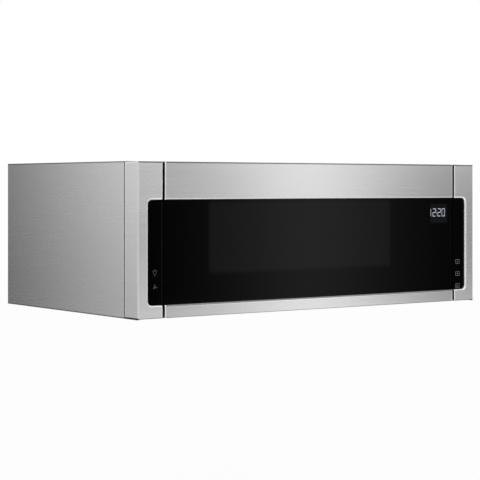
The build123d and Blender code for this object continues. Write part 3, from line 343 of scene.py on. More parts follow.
# black glass: the faint screen behind the window, whose holes are a square grid of cells,
# and the darker blue square of the clock's filter
def blackGlass(name):
    finish = Finish(name, specular=band["specular"], ior=1.5)
    x, y, z = finish.split(finish.place())

    def between(value, low, high, soft):
        return finish.range(value, low - soft, low) * finish.range(value, high, high + soft, 1.0, 0.0)

    def field(bounds, soft):
        left, right, bottom, top = bounds
        return between(x, left, right, soft) * between(z, bottom, top, soft)

    window = field(band["window"], band["windowSoft"])
    clockField = field(band["clock"], band["clockSoft"])
    grid = finish.cells((band["holes"], 0, band["holes"]), spread=0.0)
    holes = finish.range(grid, *band["holeSize"], band["holeShare"], 1.0)
    colour = finish.mix(window * holes, band["tint"], band["windowTint"])
    finish.set("baseColor", finish.mix(clockField, colour, band["clockTint"]))
    finish.set("roughness", finish.noise(band["smear"]) * 0.03 + 0.02)
    finish.bump(finish.noise(band["ripple"], detail=1.0), *band["relief"])
    return finish.material


glass = {
    "tint": (0.93, 0.97, 0.96),
    "haze": 30,
    "roughness": 0.03,
    "relief": (0.05, 0.1 * mm),
    "rings": 60.0,
    "ringRelief": (0.35, 0.4 * mm),
}


# clear glass: a breath of haze, and pressed rings round a centre where one is given
def clearGlass(name, centre=None):
    finish = Finish(name, transmission=1.0, ior=1.5, baseColor=glass["tint"])
    haze = finish.noise(glass["haze"], detail=4.0)
    finish.set("roughness", haze * 0.05 + glass["roughness"])
    if centre:
        rings = finish.node("ShaderNodeTexWave", {"wave_type": "RINGS", "rings_direction": "Z"}, {
            "Vector": finish.place(1, (-centre[0], -centre[1], 0)), "Scale": glass["rings"],
            "Distortion": 0.0}, "Fac")
        finish.bump(rings, *glass["ringRelief"])
    else:
        finish.bump(haze, *glass["relief"])
    return finish.material


lens = {
    "tint": (0.92, 0.93, 0.90),
    "transmission": 0.7,
    "roughness": 0.35,
    "row": 3 * mm,
    "relief": (0.6, 0.5 * mm),
}


# prismatic lens: rows of small pyramids, a sine across times a sine along
def prismLens(name):
    finish = Finish(name, transmission=lens["transmission"], ior=1.49, baseColor=lens["tint"],
                    roughness=lens["roughness"])
    turns = math.pi / lens["row"]
    x, y, z = finish.split(finish.place((turns, turns, 1)))
    finish.bump(x.sine() * y.sine(), *lens["relief"])
    return finish.material


screen = {
    "field": (-0.285, 0.220, 0.060, 0.208),       # left, right, bottom, top of the holes
    "pitch": 2.6 * mm,
    "holeSize": (0.30, 0.36),
    "dark": (0.028, 0.028, 0.030),
    "tint": (0.040, 0.040, 0.042),
    "holeTint": (0.002, 0.002, 0.002),
    "cloud": 15,
    "relief": (0.6, 0.3 * mm),
}


# painted sheet with a field of round holes, each the middle of one cell of a square grid
def perforatedSheet(name):
    finish = Finish(name, specular=0.4)
    x, y, z = finish.split(finish.place())
    left, right, bottom, top = screen["field"]
    inside = (x > left) * (x < right) * (z > bottom) * (z < top)
    grid = finish.cells((1 / screen["pitch"], 0, 1 / screen["pitch"]), spread=0.0)
    hole = finish.range(grid, *screen["holeSize"], 1.0, 0.0) * inside
    cloud = finish.noise(screen["cloud"])
    sheet = finish.mix(cloud, screen["dark"], screen["tint"])
    finish.set("baseColor", finish.mix(hole, sheet, screen["holeTint"]))
    finish.set("roughness", hole * 0.35 + cloud * 0.1 + 0.38)
    finish.bump(1.0 - hole, *screen["relief"])
    return finish.material


metal = {"dark": 0.80, "cloud": 25, "relief": (0.2, 0.05 * mm, 0.3 * mm)}


# drawn metal: fine lines as noise, drawn out where the scale is small, under cloud
def drawnMetal(name, tint, roughness, lines):
    finish = Finish(name, metallic=1.0)
    drawn = finish.noise(lines)
    cloud = finish.noise(metal["cloud"], detail=4.0)
    finish.set("baseColor", finish.mix(cloud * 0.6 + drawn * 0.4, lifted(tint, metal["dark"]), tint))
    finish.set("roughness", drawn * 0.15 + cloud * 0.10 + (roughness - 0.12))
    finish.bump(drawn, *metal["relief"])
    return finish.material


charcoal = {
    "grains": 420,
    "shade": 90,
    "dark": (0.006, 0.006, 0.007),
    "tint": (0.045, 0.045, 0.048),
    "relief": (0.9, 1.2 * mm),
}


# carbon granules held in a bed: every granule is a cell, high in its middle
def charcoalBed(name):
    finish = Finish(name, specular=0.3)
    grains = finish.cells(charcoal["grains"])
    cloud = finish.noise(charcoal["shade"], detail=4.0)
    finish.set("baseColor", finish.mix(cloud, charcoal["dark"], charcoal["tint"]))
    finish.set("roughness", grains * 0.3 + 0.5)
    finish.bump(1.0 - grains, *charcoal["relief"])
    return finish.material


core = {
    "iron": ((0.10, 0.10, 0.11), (0.26, 0.26, 0.28)),
    "copper": ((0.30, 0.10, 0.03), (0.62, 0.27, 0.11)),
    "laminations": 330.0,
    "wires": 300.0,
    "overhang": 8 * mm,       # of the winding past either face of the core
    "relief": (0.5, 0.3 * mm),
}


# laminated core, with the enamelled copper winding that stands out of its two faces: bands along x for
# the core's sheets and up z for the wires
def woundCore(name, left, right):
    finish = Finish(name)
    x, y, z = finish.split(finish.place())
    outside = (x < left + core["overhang"]) + (x > right - core["overhang"])
    laminations, wires = [
        finish.node("ShaderNodeTexWave", {"bands_direction": axis}, {
            "Vector": finish.place(), "Scale": core[part], "Distortion": distortion}, "Fac")
        for part, axis, distortion in (("laminations", "X", 0.3), ("wires", "Z", 0.4))]
    iron, copper = finish.mix(laminations, *core["iron"]), finish.mix(wires, *core["copper"])
    finish.set("baseColor", finish.mix(outside, iron, copper))
    finish.set("metallic", outside * 0.1 + 0.8)
    finish.set("roughness", laminations * 0.15 + 0.32)
    finish.bump(laminations * (1.0 - outside) + wires * outside, *core["relief"])
    return finish.material


lacquer = {
    "tint": (0.012, 0.070, 0.028),
    "tracks": 160,
    "trackWidth": (0.06, 0.10),
    "trackTint": (0.035, 0.16, 0.060),
    "relief": (0.3, 0.05 * mm),
}


# green board with tracks under the lacquer: the lines where cells meet
def circuitBoard(name):
    finish = Finish(name, specular=0.5)
    edges = finish.cells(lacquer["tracks"], feature="DISTANCE_TO_EDGE", spread=0.6)
    line = finish.range(edges, *lacquer["trackWidth"], 1.0, 0.0)
    finish.set("baseColor", finish.mix(line, lacquer["tint"], lacquer["trackTint"]))
    finish.set("roughness", line * 0.1 + 0.28)
    finish.bump(line, *lacquer["relief"])
    return finish.material


mica = {
    "tint": (0.50, 0.42, 0.31),
    "leaves": 160,
    "flecks": 300,
    "fleckFrom": (0.4, 0.7),
    "fleckTint": (0.30, 0.23, 0.15),
    "relief": (0.2, 0.1 * mm),
}


# split mica: pale brown leaves as cells, with darker flecks of noise
def micaSheet(name):
    finish = Finish(name, specular=0.6)
    leaves = finish.cells(mica["leaves"])
    fleck = finish.range(finish.noise(mica["flecks"], detail=5.0, rough=0.7), *mica["fleckFrom"])
    finish.set("baseColor", finish.mix(fleck, mica["tint"], mica["fleckTint"]))
    finish.set("roughness", leaves * 0.3 + 0.25)
    finish.bump(leaves, *mica["relief"])
    return finish.material


print("finishes defined")

# finish of every carried node

fold = {
    "dull": 0.24,               # grey of the painted shade along folded edges, the feet and the seam
    # white of the painted highlights along rounded edges
    "paintedHighlight": 0.97,
    "shaded": 0.30,
    # near black of the painted shade under the side of each end cap
    "black": 0.010,
    "top": 1.9 * mm,            # height of the painted shade line along a folded edge
    # heights of the painted shade along the feet of the trims and the end caps
    "trimFoot": 0.9 * mm,
    "capFoot": 1.0 * mm,
    "capSideFoot": 2.0 * mm,
    "seam": 2.4 * mm,           # the panel's strip of painted shade behind the end cap, in the seam
    # reach of the painted highlight along the cap's rear edge
    "capBack": 3.0 * mm,
    "lip": 4.0 * mm,            # how far the glass runs on behind the trims
    "lowRim": (-3.8 * mm, -3.0 * mm, 1.0 * mm),    # painted highlight, then painted shade, from the glass's lower edge
    "highRim": (-1.0 * mm, 1.2 * mm),              # shade at its upper edge
    "gap": (0.4 * mm, 0.5 * mm, 2.6 * mm),         # painted shade, then painted highlight, from the door's gap
    "capShares": (1.25, 1.07),                     # the cap's tint on its front and on its side, the front lifted brighter as painted light
}
dull, paintedHighlight, shaded, black = [(fold[tone],) * 3 for tone in ("dull", "paintedHighlight", "shaded", "black")]
far = 0.5      # past every face of the object, in metres
capBox, doorBox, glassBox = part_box("left_end_cap"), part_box("door_trims"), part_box("door_glass")
lowRim, highRim = glassBox[0][2] + fold["lip"], glassBox[1][2] - fold["lip"]
capInner, doorEnd = -capBox[1][0], doorBox[1][0]
shade, lineStart, lineEnd = fold["gap"]
# bands of painted shade and painted highlight along the edges of the three steels
panelSteel = brushedSteel("brushed_panel_steel", [
    ("z", cadBounds[1][2] - fold["top"], far, dull),
    ("z", -far, fold["top"], dull),
    ("y", -far, capBox[1][1] + fold["seam"], dull)])
trimSteel = brushedSteel("brushed_trim_steel", [
    ("z", doorBox[1][2] - fold["top"], far, dull),
    ("z", -far, doorBox[0][2] + fold["trimFoot"], dull),
    ("z", lowRim + fold["lowRim"][0], lowRim + fold["lowRim"][1], paintedHighlight),
    ("z", lowRim + fold["lowRim"][1], lowRim + fold["lowRim"][2], shaded),
    ("z", highRim + fold["highRim"][0], highRim + fold["highRim"][1], shaded),
    ("x", doorEnd - lineEnd, doorEnd - lineStart, paintedHighlight),
    ("x", doorEnd - shade, far, shaded)])
capSteel = brushedSteel("brushed_cap_steel", [
    ("x", steel["cornerX"], steel["outerX"], paintedHighlight),
    ("x", -far, capInner + shade, shaded),
    ("x", capInner + lineStart, capInner + lineEnd, paintedHighlight),
    ("y", capBox[1][1] - fold["capBack"], far, paintedHighlight),
    ("z", capBox[1][2] - fold["top"], far, dull),
    ("side z", capBox[1][2] - fold["top"], far, paintedHighlight),
    ("z", -far, capBox[0][2] + fold["capFoot"], dull),
    ("side z", -far, capBox[0][2] + fold["capSideFoot"], black)], *fold["capShares"])
zinc = galvanisedSheet("zinc_sheet")
casePaint = powderPaint("case_paint", (0.30, 0.30, 0.31), (0.26, 0.26, 0.27))
blackPlastic = mouldedPlastic("black_plastic", (0.018, 0.018, 0.019))
greyPlastic = mouldedPlastic("grey_plastic", (0.22, 0.22, 0.23))
whitePlastic = mouldedPlastic("white_plastic", (0.72, 0.72, 0.70))
bandGlass = blackGlass("black_glass")
boltSteel = drawnMetal("bolt_steel", (0.52, 0.52, 0.53), 0.33, 700)
aluminium = drawnMetal("aluminium", (0.70, 0.71, 0.72), 0.38, (900, 900, 60))
board = circuitBoard("circuit_board")
enamel = powderPaint("oven_enamel", (0.46, 0.46, 0.45), (0.42, 0.42, 0.41), 0.28, 0.75)
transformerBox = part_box("high_voltage_transformer")
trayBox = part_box("glass_tray")
trayCentre = ((trayBox[0][0] + trayBox[1][0]) / 2, (trayBox[0][1] + trayBox[1][1]) / 2)

finishOf = {
    panelSteel: ["left_side_panel", "right_side_panel"],
    trimSteel: ["door_trims"],
    capSteel: ["left_end_cap", "right_end_cap"],
    zinc: ["top_cover", "back_panel", "wall_mounting_plate", "hinge_brackets", "release_motor", "waveguide",
           "turntable_motor", "cooling_fan_baffle", "cooling_fan_motor", "blower_housing", "blower_motor",
           "exhaust_duct"],
    casePaint: ["base_plate"],
    powderPaint("frame_paint", (0.030, 0.030, 0.032), (0.024, 0.024, 0.025)): ["front_frame"],
    blackPlastic: ["vent_grille", "cord_bushing", "door_frame", "door_inner_cover", "interlock_switches"],
    mouldedPlastic("frame_plastic", (0.05, 0.05, 0.052)): ["end_frames"],
    greyPlastic: ["roller_ring", "roller_1", "roller_2", "roller_3", "cooling_fan_blade", "blower_wheels"],
    whitePlastic: ["latch_hooks", "latch_board", "interlock_buttons", "push_rod", "release_cam",
                   "cavity_lamp", "turntable_coupler", "cooktop_lamps"],
    bandGlass: ["end_glasses", "door_glass"],
    boltSteel: ["case_screws", "hinge_pins", "latch_spring"],
    aluminium: ["magnetron", "high_voltage_capacitor", "damper_flap", "left_grease_filter",
                "right_grease_filter"],
    board: ["touch_boards", "control_board"],
    enamel: ["cavity_liner"],
    charcoalBed("charcoal"): ["charcoal_filter"],
    micaSheet("mica"): ["waveguide_cover"],
    perforatedSheet("perforated_sheet"): ["choke_frame"],
    clearGlass("inner_glass"): ["door_inner_glass"],
    clearGlass("tray_glass", trayCentre): ["glass_tray"],
    prismLens("prism_lens"): ["lamp_lenses"],
    woundCore("wound_core", transformerBox[0][0], transformerBox[1][0]): ["high_voltage_transformer"],
    mouldedPlastic("clock_housing", (0.010, 0.012, 0.016), 0.3): ["display_module"],
}
dressed = set()
for material, names in finishOf.items():
    for name in names:
        for materialSlot in nodes[name].material_slots:
            materialSlot.material = material
        dressed.add(name)
print("nodes without a finish:", sorted(set(nodes) - dressed))

# new shapes


# carries a flat profile along a path: every ring is the profile turned to face along the path
def carried(path, profile, up, closed=False):
    path, profile = np.asarray(path, float), np.asarray(profile, float)
    if closed:
        along = np.roll(path, -1, axis=0) - np.roll(path, 1, axis=0)
    else:
        along = np.gradient(path, axis=0)
    along /= np.linalg.norm(along, axis=1, keepdims=True)
    side = np.cross(along, np.broadcast_to(up, along.shape))
    side /= np.linalg.norm(side, axis=1, keepdims=True)
    rise = np.cross(side, along)
    points = path[:, None] + profile[None, :, :1] * side[:, None] + profile[None, :, 1:] * rise[:, None]
    return points, tubeFaces(len(path), len(profile), closed), not closed


# quads between neighbouring rings of a tube: each joins two points of one ring to the same two of the next
def tubeFaces(rings, sides, closed=False):
    ring = np.arange(rings if closed else rings - 1)[:, None]
    side = np.arange(sides)[None, :]
    nextRing, nextSide = (ring + 1) % rings, (side + 1) % sides
    corners = [ring * sides + side, ring * sides + nextSide,
               nextRing * sides + nextSide, nextRing * sides + side]
    return np.stack([np.broadcast_to(corner, (ring.size, side.size)).ravel() for corner in corners], axis=1)


# one mesh object from several tubes, each (points, faces, whether its ends get a lid)
def makePiece(name, tubes, material, body, smooth=True):
    points, faces, offset = [], [], 0
    for grid, quads, lids in tubes:
        count, ring = grid.shape[0] * grid.shape[1], grid.shape[1]
        faces += (quads + offset).tolist()
        if lids:
            faces.append((np.arange(ring)[::-1] + offset).tolist())
            faces.append((np.arange(ring) + offset + count - ring).tolist())
        points.append(grid.reshape(-1, 3))
        offset += count
    mesh = bpy.data.meshes.new(name)
    mesh.from_pydata(np.concatenate(points).tolist(), [], faces)
    turnOutward(mesh)
    if smooth:
        mesh.shade_smooth()
    piece = bpy.data.objects.new(name, mesh)
    bpy.context.collection.objects.link(piece)
    piece.data.materials.append(material)
    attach(piece, body)
    return piece


# merges doubled points and turns every face outward
def turnOutward(mesh):
    work = bmesh.new()
    work.from_mesh(mesh)
    bmesh.ops.remove_doubles(work, verts=work.verts, dist=1e-7)
    bmesh.ops.recalc_face_normals(work, faces=work.faces)
    work.to_mesh(mesh)
    work.free()


# points evenly round a circle
def roundProfile(radius, sides):
    turn = np.linspace(0, 2 * np.pi, sides, endpoint=False)
    return np.stack([radius * np.cos(turn), radius * np.sin(turn)], axis=1)


# the four corners of a rectangle about its middle
def flatProfile(width, height):
    x, y = width / 2, height / 2
    return np.array([(-x, -y), (x, -y), (x, y), (-x, y)])


# one quad from its four corners
def flatSheet(name, corners):
    mesh = bpy.data.meshes.new(name)
    mesh.from_pydata([tuple(corner) for corner in corners], [], [(0, 1, 2, 3)])
    sheet = bpy.data.objects.new(name, mesh)
    bpy.context.collection.objects.link(sheet)
    return sheet


# camera

camera = {
    "place": (-1.733, -2.359, 0.2192),
    "lens": 116.14,
    "sensor": 36,
    "facing": (0.590, 0.807),                 # level direction of view, along x and y
    "shift": (-0.3 / 480, -54.2 / 480),       # pixels of the 480 wide frame
}
cameraData = bpy.data.cameras.new("camera")
cameraData.lens = camera["lens"]
cameraData.sensor_width = camera["sensor"]
cameraData.shift_x, cameraData.shift_y = camera["shift"]
cameraObject = bpy.data.objects.new("camera", cameraData)
cameraObject.location = camera["place"]
cameraObject.rotation_euler = (math.pi / 2, 0, -math.atan2(*camera["facing"]))
bpy.context.collection.objects.link(cameraObject)
bpy.context.scene.camera = cameraObject
bpy.context.scene.view_settings.view_transform = "Standard"

# studio

studio = {
    "world": 0.78,                # light on matt surfaces
    "floorZ": -0.45,
    "floorHalf": 9.0,
    "floorTint": (0.90, 0.90, 0.90),
    "floorGlow": 0.93,            # share of the floor that is plain white where it is seen
    "key": 26.0,                  # watts
    "keyPlace": (-0.9, -1.7, 2.3),
    "keyTurn": (40, 0, -28),      # degrees
    "keySize": 2.2,
}
squareCorners = ((-1, -1), (1, -1), (1, 1), (-1, 1))


# 1 for a ray from the camera, a mirror or clear glass, and 0 for one that lights a matt surface
def seenDirectly(shader):
    rays = shader.node("ShaderNodeLightPath").socket.node.outputs
    straight, mirrored, through = [Wire(shader.tree, rays[name]) for name in (
        "Is Camera Ray", "Is Glossy Ray", "Is Transmission Ray")]
    return (straight + mirrored + through).atMost(1.0)


# white where it is seen, and a little less as a light
def makeWorld():
    world = bpy.data.worlds.new("studio")
    world.use_nodes = True
    bpy.context.scene.world = world
    shader = Shader(world.node_tree)
    backdrop = world.node_tree.nodes["Background"]
    backdrop.inputs["Color"].default_value = (1, 1, 1, 1)
    direct = seenDirectly(shader)
    shader.feed(backdrop.inputs["Strength"], direct * (1.0 - studio["world"]) + studio["world"])


# matt floor mixed with plain white where it is seen, and clear from below so the underside can be looked at
def makeFloor():
    half = studio["floorHalf"]
    floor = flatSheet("floor", [(a * half, b * half, studio["floorZ"]) for a, b in squareCorners])
    finish = Finish("floor", baseColor=studio["floorTint"], roughness=0.9)
    glow = finish.node("ShaderNodeEmission", inputs={"Color": (1.0, 1.0, 1.0), "Strength": 1.0})
    matt = Wire(finish.tree, finish.surface.outputs[0])
    share = seenDirectly(finish) * studio["floorGlow"]
    above = finish.node("ShaderNodeMixShader", inputs={0: share, 1: matt, 2: glow})
    clear = finish.node("ShaderNodeBsdfTransparent")
    below = finish.node("ShaderNodeNewGeometry", output="Backfacing")
    whole = finish.node("ShaderNodeMixShader", inputs={0: below, 1: above, 2: clear})
    finish.feed(finish.tree.nodes["Material Output"].inputs["Surface"], whole)
    floor.data.materials.append(finish.material)


# a tall card that only reflections see, square to the level line from a point of the object toward it;
# side -1 carries it over to the object's other side, and level gives its glow from the metres across
# and up from its middle
def makeCard(name, plan, side, level):
    centre = np.array(plan["from"]) + plan["distance"] * np.array(plan["toward"])
    centre[0] *= side
    toward = (side * plan["toward"][0], plan["toward"][1])
    across = np.array((-toward[1], toward[0], 0.0)) / math.hypot(*toward)
    up = np.array((0.0, 0.0, 1.0))
    card = flatSheet(name, [centre + across * a * plan["width"] / 2 + up * b * plan["height"] / 2
                            for a, b in squareCorners])
    finish = Finish(name)
    place = finish.node("ShaderNodeTexCoord", output="Object")
    shift = finish.node("ShaderNodeVectorMath", {"operation": "SUBTRACT"}, {0: place, 1: tuple(centre)})
    aside = finish.node("ShaderNodeVectorMath", {"operation": "DOT_PRODUCT"}, {
        0: shift, 1: tuple(across)}, "Value")
    above = finish.split(shift)[2]
    glow = finish.node("ShaderNodeEmission", inputs={"Strength": level(finish, plan, side, aside, above)})
    finish.feed(finish.tree.nodes["Material Output"].inputs["Surface"], glow)
    card.data.materials.append(finish.material)
    card.visible_camera = False
    card.visible_diffuse = False
    card.visible_shadow = False
    card.visible_transmission = False


makeWorld()
makeFloor()

frontCard = {
    "distance": 1.5,
    "from": (-0.02, -0.222, 0.13),
    "toward": (0.6255, -0.7803, 0.0),
    "width": 1.46,
    "height": 1.3,
    "peak": 0.965,
    "spread": 0.213,
    "base": 0.12,                    # taken off the foot of the hump
    "upper": (0.08, 0.30, 0.76),     # start, end and glow of the wash that only the grain's spread reaches
    "lower": (0.20, 0.38, 0.85),
    "middle": 0.45,                  # share of the wash lost behind the hump
}


# a hump across the card, 1 over 1 plus the square of the way out, less its foot, with a wash over the
# card's upper and lower parts
def frontLevel(finish, plan, side, aside, above):
    hump = 1.0 / (aside * aside / plan["spread"] ** 2 + 1.0)
    hump = (hump - plan["base"]) * (plan["peak"] / (1.0 - plan["base"]))
    (start, end, glow), (lowStart, lowEnd, lowGlow) = plan["upper"], plan["lower"]
    wash = finish.range(above, start, end, 0.0, glow) + finish.range(above, -lowEnd, -lowStart, lowGlow, 0.0)
    return hump.atLeast(0.0) + wash * (1.0 - hump * plan["middle"])


sideCard = {
    "distance": 1.5,
    "from": (-0.38, 0.0, 0.13),
    "toward": (-0.5035, 0.8640, 0.0),
    "width": 2.6,
    "height": 1.9,
    "bright": 0.85,
    "dark": 0.165,
    "change": 0.3,                   # reach of the change from dark to bright, to either side of the middle
    "below": 0.50,
    "above": 1.3,
    "rise": 0.5,
}


# a smooth step from dark to bright across the card, times one from its lower to its upper part
def sideLevel(finish, plan, side, aside, above):
    return (finish.range(aside, -plan["change"] * side, plan["change"] * side, plan["dark"], plan["bright"])
            * finish.range(above, -plan["rise"], plan["rise"], plan["below"], plan["above"]))


middleCard = {
    "distance": 1.6,
    "from": (0.0, -0.225, 0.13),
    "toward": (0.0, -1.0, 0.0),
    "width": 0.9,
    "height": 1.3,
    "middle": 0.80,
    "falls": 0.45,                   # glow lost per metre down the card
}
endCard = dict(middleCard)
endCard.update({"from": (0.38, 0.0, 0.13), "toward": (1.0, 0.0, 0.0), "width": 1.3, "middle": 0.70})


# brightest in the middle of the card's width, falling with the square of the way out and evenly downwards
def middleLevel(finish, plan, side, aside, above):
    return above * plan["falls"] + plan["middle"] - aside * aside


makeCard("front_card", frontCard, 1, frontLevel)
makeCard("left_front_card", frontCard, -1, frontLevel)
makeCard("side_card", sideCard, 1, sideLevel)
makeCard("right_side_card", sideCard, -1, sideLevel)
makeCard("middle_card", middleCard, 1, middleLevel)
makeCard("left_card", endCard, -1, middleLevel)
makeCard("right_card", endCard, 1, middleLevel)

keyData = bpy.data.lights.new("key", "AREA")
keyData.energy = studio["key"]
keyData.size = studio["keySize"]
key = bpy.data.objects.new("key", keyData)
key.location = studio["keyPlace"]
key.rotation_euler = [math.radians(turn) for turn in studio["keyTurn"]]
key.visible_camera = False
key.visible_glossy = False
bpy.context.collection.objects.link(key)
print("studio ready")

# clock digits on the door glass

clock = {
    "text": "12:20",
    "starts": (0.2664, 0.2784, 0.2885, 0.2911, 0.3018),   # left edge of each sign
    "width": 0.0074,
    "bottom": 0.1618,
    "height": 0.0144,
    "flat": 0.00072,       # thickness of the level strokes
    "upright": 0.00044,    # and of the upright ones
    "point": 0.35,         # how far a stroke's end is drawn back, in shares of half its thickness
    "dots": (0.33, 0.69),  # heights of the colon's dots, in shares of the digits' height
    "dot": 0.0015,
    "depth": 0.00012,
    "glow": 0.84,
    "tint": (0.86, 0.90, 1.0),
    "glassTint": ((0.30, 0.33, 0.40), (0.36, 0.40, 0.48)),
    "haze": 800,
}
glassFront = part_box("door_glass")[0][1]

# the seven strokes of a digit, as ends on a cell one wide and two high
strokeEnds = {
    "a": ((0, 2), (1, 2)), "b": ((1, 2), (1, 1)), "c": ((1, 1), (1, 0)), "d": ((0, 0), (1, 0)),
    "e": ((0, 1), (0, 0)), "f": ((0, 2), (0, 1)), "g": ((0, 1), (1, 1)),
}
strokesOf = {"0": "abcdef", "1": "bc", "2": "abged", ":": ""}
levelStrokes = "adg"


# a flat bar with pointed ends: six corners round the line from one end to the other, front and back
def litBar(first, last, stroke):
    first, last = np.array(first, float), np.array(last, float)
    along = (last - first) / np.linalg.norm(last - first) * stroke / 2
    side = np.array((-along[1], along[0]))
    first, last = first + along * clock["point"], last - along * clock["point"]
    outline = np.array([first, first + along + side, last - along + side,
                        last, last - along - side, first + along - side])
    corners = len(outline)
    rings = [np.stack([outline[:, 0], np.full(corners, y), outline[:, 1]], axis=1)
             for y in (glassFront - clock["depth"], glassFront)]
    return np.stack(rings), tubeFaces(len(rings), corners), True


# every digit's strokes, scaled from their cell, and the two dots of the colon
def makeDigits():
    bars = []
    flat, upright = clock["flat"], clock["upright"]
    size = np.array((clock["width"] - upright, (clock["height"] - flat) / 2))
    for sign, start in zip(clock["text"], clock["starts"]):
        origin = np.array((start + upright / 2, clock["bottom"] + flat / 2))
        for stroke in strokesOf[sign]:
            ends = np.array(strokeEnds[stroke], float) * size + origin
            bars.append(litBar(*ends, flat if stroke in levelStrokes else upright))
        if sign == ":":
            for rise in clock["dots"]:
                z, half = clock["bottom"] + clock["height"] * rise, clock["dot"] / 2
                bars.append(litBar((start - half, z), (start + half, z), clock["dot"]))
    finish = Finish("clock_light", emissionColor=clock["tint"], emissionStrength=clock["glow"])
    haze = finish.noise(clock["haze"])
    finish.set("baseColor", finish.mix(haze, *clock["glassTint"]))
    finish.set("roughness", haze * 0.1 + 0.3)
    makePiece("clock_digits", bars, finish.material, "door", smooth=False)


makeDigits()

# printed touch marks on the end glasses

marks = {
    "line": 0.00045,
    "depth": 0.0001,
    "ink": (0.25, 0.257, 0.264),
    "inkShares": (0.85, 1.0),            # darkest and lightest patches of the ink on the right
    "dimShares": (0.45, 0.55),          # and, darker, on the left
    "patches": 900,
    "lampCentre": (-0.3440, 0.0762),
    "bulbRise": 0.0006,
    "bulbRadius": 0.0030,
    "bulbTurn": (-60, 240, 28),          # start and end in degrees, and the number of points
    "bulbFoot": ((0.0014, 0.0032), (0.0010, 0.0042)),      # half width and drop of the lines under the bulb
    "rays": (0.0042, 0.0052),
    "rayTurns": (30, 90, 150),
    "fanCentre": (-0.3440, 0.0526),
    "fanSize": 0.70,                     # scale of the blades
    "hub": 0.0008,
    "hubTurn": (0, 345, 16),
    "bladeMiddle": 0.0031,
    "bladeHalf": (0.0021, 0.0011),
    "bladeRoot": 0.001,
    "bladeBend": 90,                     # sideways per square of the reach past the root
    "bladeTurns": (90, 210, 330),
    "bladePoints": 24,
    "padX": 0.3426,
    "padZ": (0.0750, 0.0519, 0.0291),
    "padHalf": (0.0050, 0.0037),
    "padCorner": 0.0006,
    "cornerPoints": 5,
    "wideLine": 0.0018,
}

# signs in the pads: which pad, points from its middle, whether they close, and the line's width
padSigns = (
    (0, ((-0.0012, -0.0019), (-0.0012, 0.0019), (0.0019, 0.0)), True, marks["line"]),
    (1, ((-0.0010, 0.0), (0.0010, 0.0)), False, marks["wideLine"]),
    (2, ((-0.0022, -0.0019), (-0.0022, 0.0019), (0.0002, 0.0010), (0.0002, -0.0027)), True, marks["line"]),
    (2, ((0.0010, -0.0004), (0.0026, -0.0004)), False, marks["line"]),
)


# a raised line of rectangular section through points on the glass
def drawnLine(points, closed=False, line=marks["line"]):
    points = np.array(points, float)
    front = glassFront - marks["depth"] / 2
    path = np.stack([points[:, 0], np.full(len(points), front), points[:, 1]], axis=1)
    return carried(path, flatProfile(line, marks["depth"]), (0, -1, 0), closed)


# points along an arc, whose start and end are in degrees
def arcPoints(centre, radius, start, end, count):
    turn = np.radians(np.linspace(start, end, count))
    return np.stack([centre[0] + radius * np.cos(turn), centre[1] + radius * np.sin(turn)], axis=1)


# the lamp: an open circle with two short lines below it and three rays above
def lampMark():
    x, z = marks["lampCentre"]
    bulb = np.array((x, z + marks["bulbRise"]))
    lines = [drawnLine(arcPoints(bulb, marks["bulbRadius"], *marks["bulbTurn"]))]
    for half, drop in marks["bulbFoot"]:
        lines.append(drawnLine([(x - half, z - drop), (x + half, z - drop)]))
    for turn in np.radians(marks["rayTurns"]):
        ray = np.array((math.cos(turn), math.sin(turn)))
        lines.append(drawnLine([bulb + ray * reach for reach in marks["rays"]]))
    return lines


# the fan: a ring for the hub and three blades, each an ellipse bent by the square of its reach
def fanMark():
    lines = [drawnLine(arcPoints(marks["fanCentre"], marks["hub"], *marks["hubTurn"]), True)]
    sweep = np.linspace(0, 2 * np.pi, marks["bladePoints"], endpoint=False)
    reach = marks["bladeMiddle"] + marks["bladeHalf"][0] * np.cos(sweep)
    rise = marks["bladeHalf"][1] * np.sin(sweep) + (reach - marks["bladeRoot"]) ** 2 * marks["bladeBend"]
    blade = np.stack([reach, rise], axis=1) * marks["fanSize"]
    for turn in np.radians(marks["bladeTurns"]):
        turned = blade @ np.array([(math.cos(turn), math.sin(turn)), (-math.sin(turn), math.cos(turn))])
        lines.append(drawnLine(turned + np.array(marks["fanCentre"]), True))
    return lines


# the three pads: a frame with a quarter circle at each corner, and the signs inside
def padMarks():
    x, corner, points = marks["padX"], marks["padCorner"], marks["cornerPoints"]
    half = np.array(marks["padHalf"]) - corner
    lines = []
    for z in marks["padZ"]:
        quarters = [arcPoints((x + a * half[0], z + b * half[1]), corner, start, start + 90, points)
                    for a, b, start in ((1, 1, 0), (-1, 1, 90), (-1, -1, 180), (1, -1, 270))]
        lines.append(drawnLine(np.concatenate(quarters), True))
    for pad, sign, closed, line in padSigns:
        lines.append(drawnLine(np.array(sign) + (x, marks["padZ"][pad]), closed, line))
    return lines


# printed ink: two shades in fine patches of noise
def printedInk(name, shares):
    finish = Finish(name, specular=0.3)
    patch = finish.noise(marks["patches"])
    finish.set("baseColor", finish.mix(patch, *[lifted(marks["ink"], share) for share in shares]))
    finish.set("roughness", patch * 0.2 + 0.45)
    return finish.material


rightInk = printedInk("printed_ink", marks["inkShares"])
leftInk = printedInk("dim_ink", marks["dimShares"])
makePiece("touch_marks_left", lampMark() + fanMark(), leftInk, "case", smooth=False)
makePiece("touch_marks_right", padMarks(), rightInk, "case", smooth=False)
print("clock and marks made")

# woven wire in the grease filters

filterMesh = {
    "rim": 0.0062,
    "pitch": 0.0046,
    "wire": 0.00038,
    "wave": 0.00045,
    "rise": 0.0019,     # middle of the weave above the filter's underside
    "wireSides": 4,
    "ringRadius": 0.009,
    "ringWire": 0.0008,
    "ringSteps": 25,
    "ringSides": 8,
}


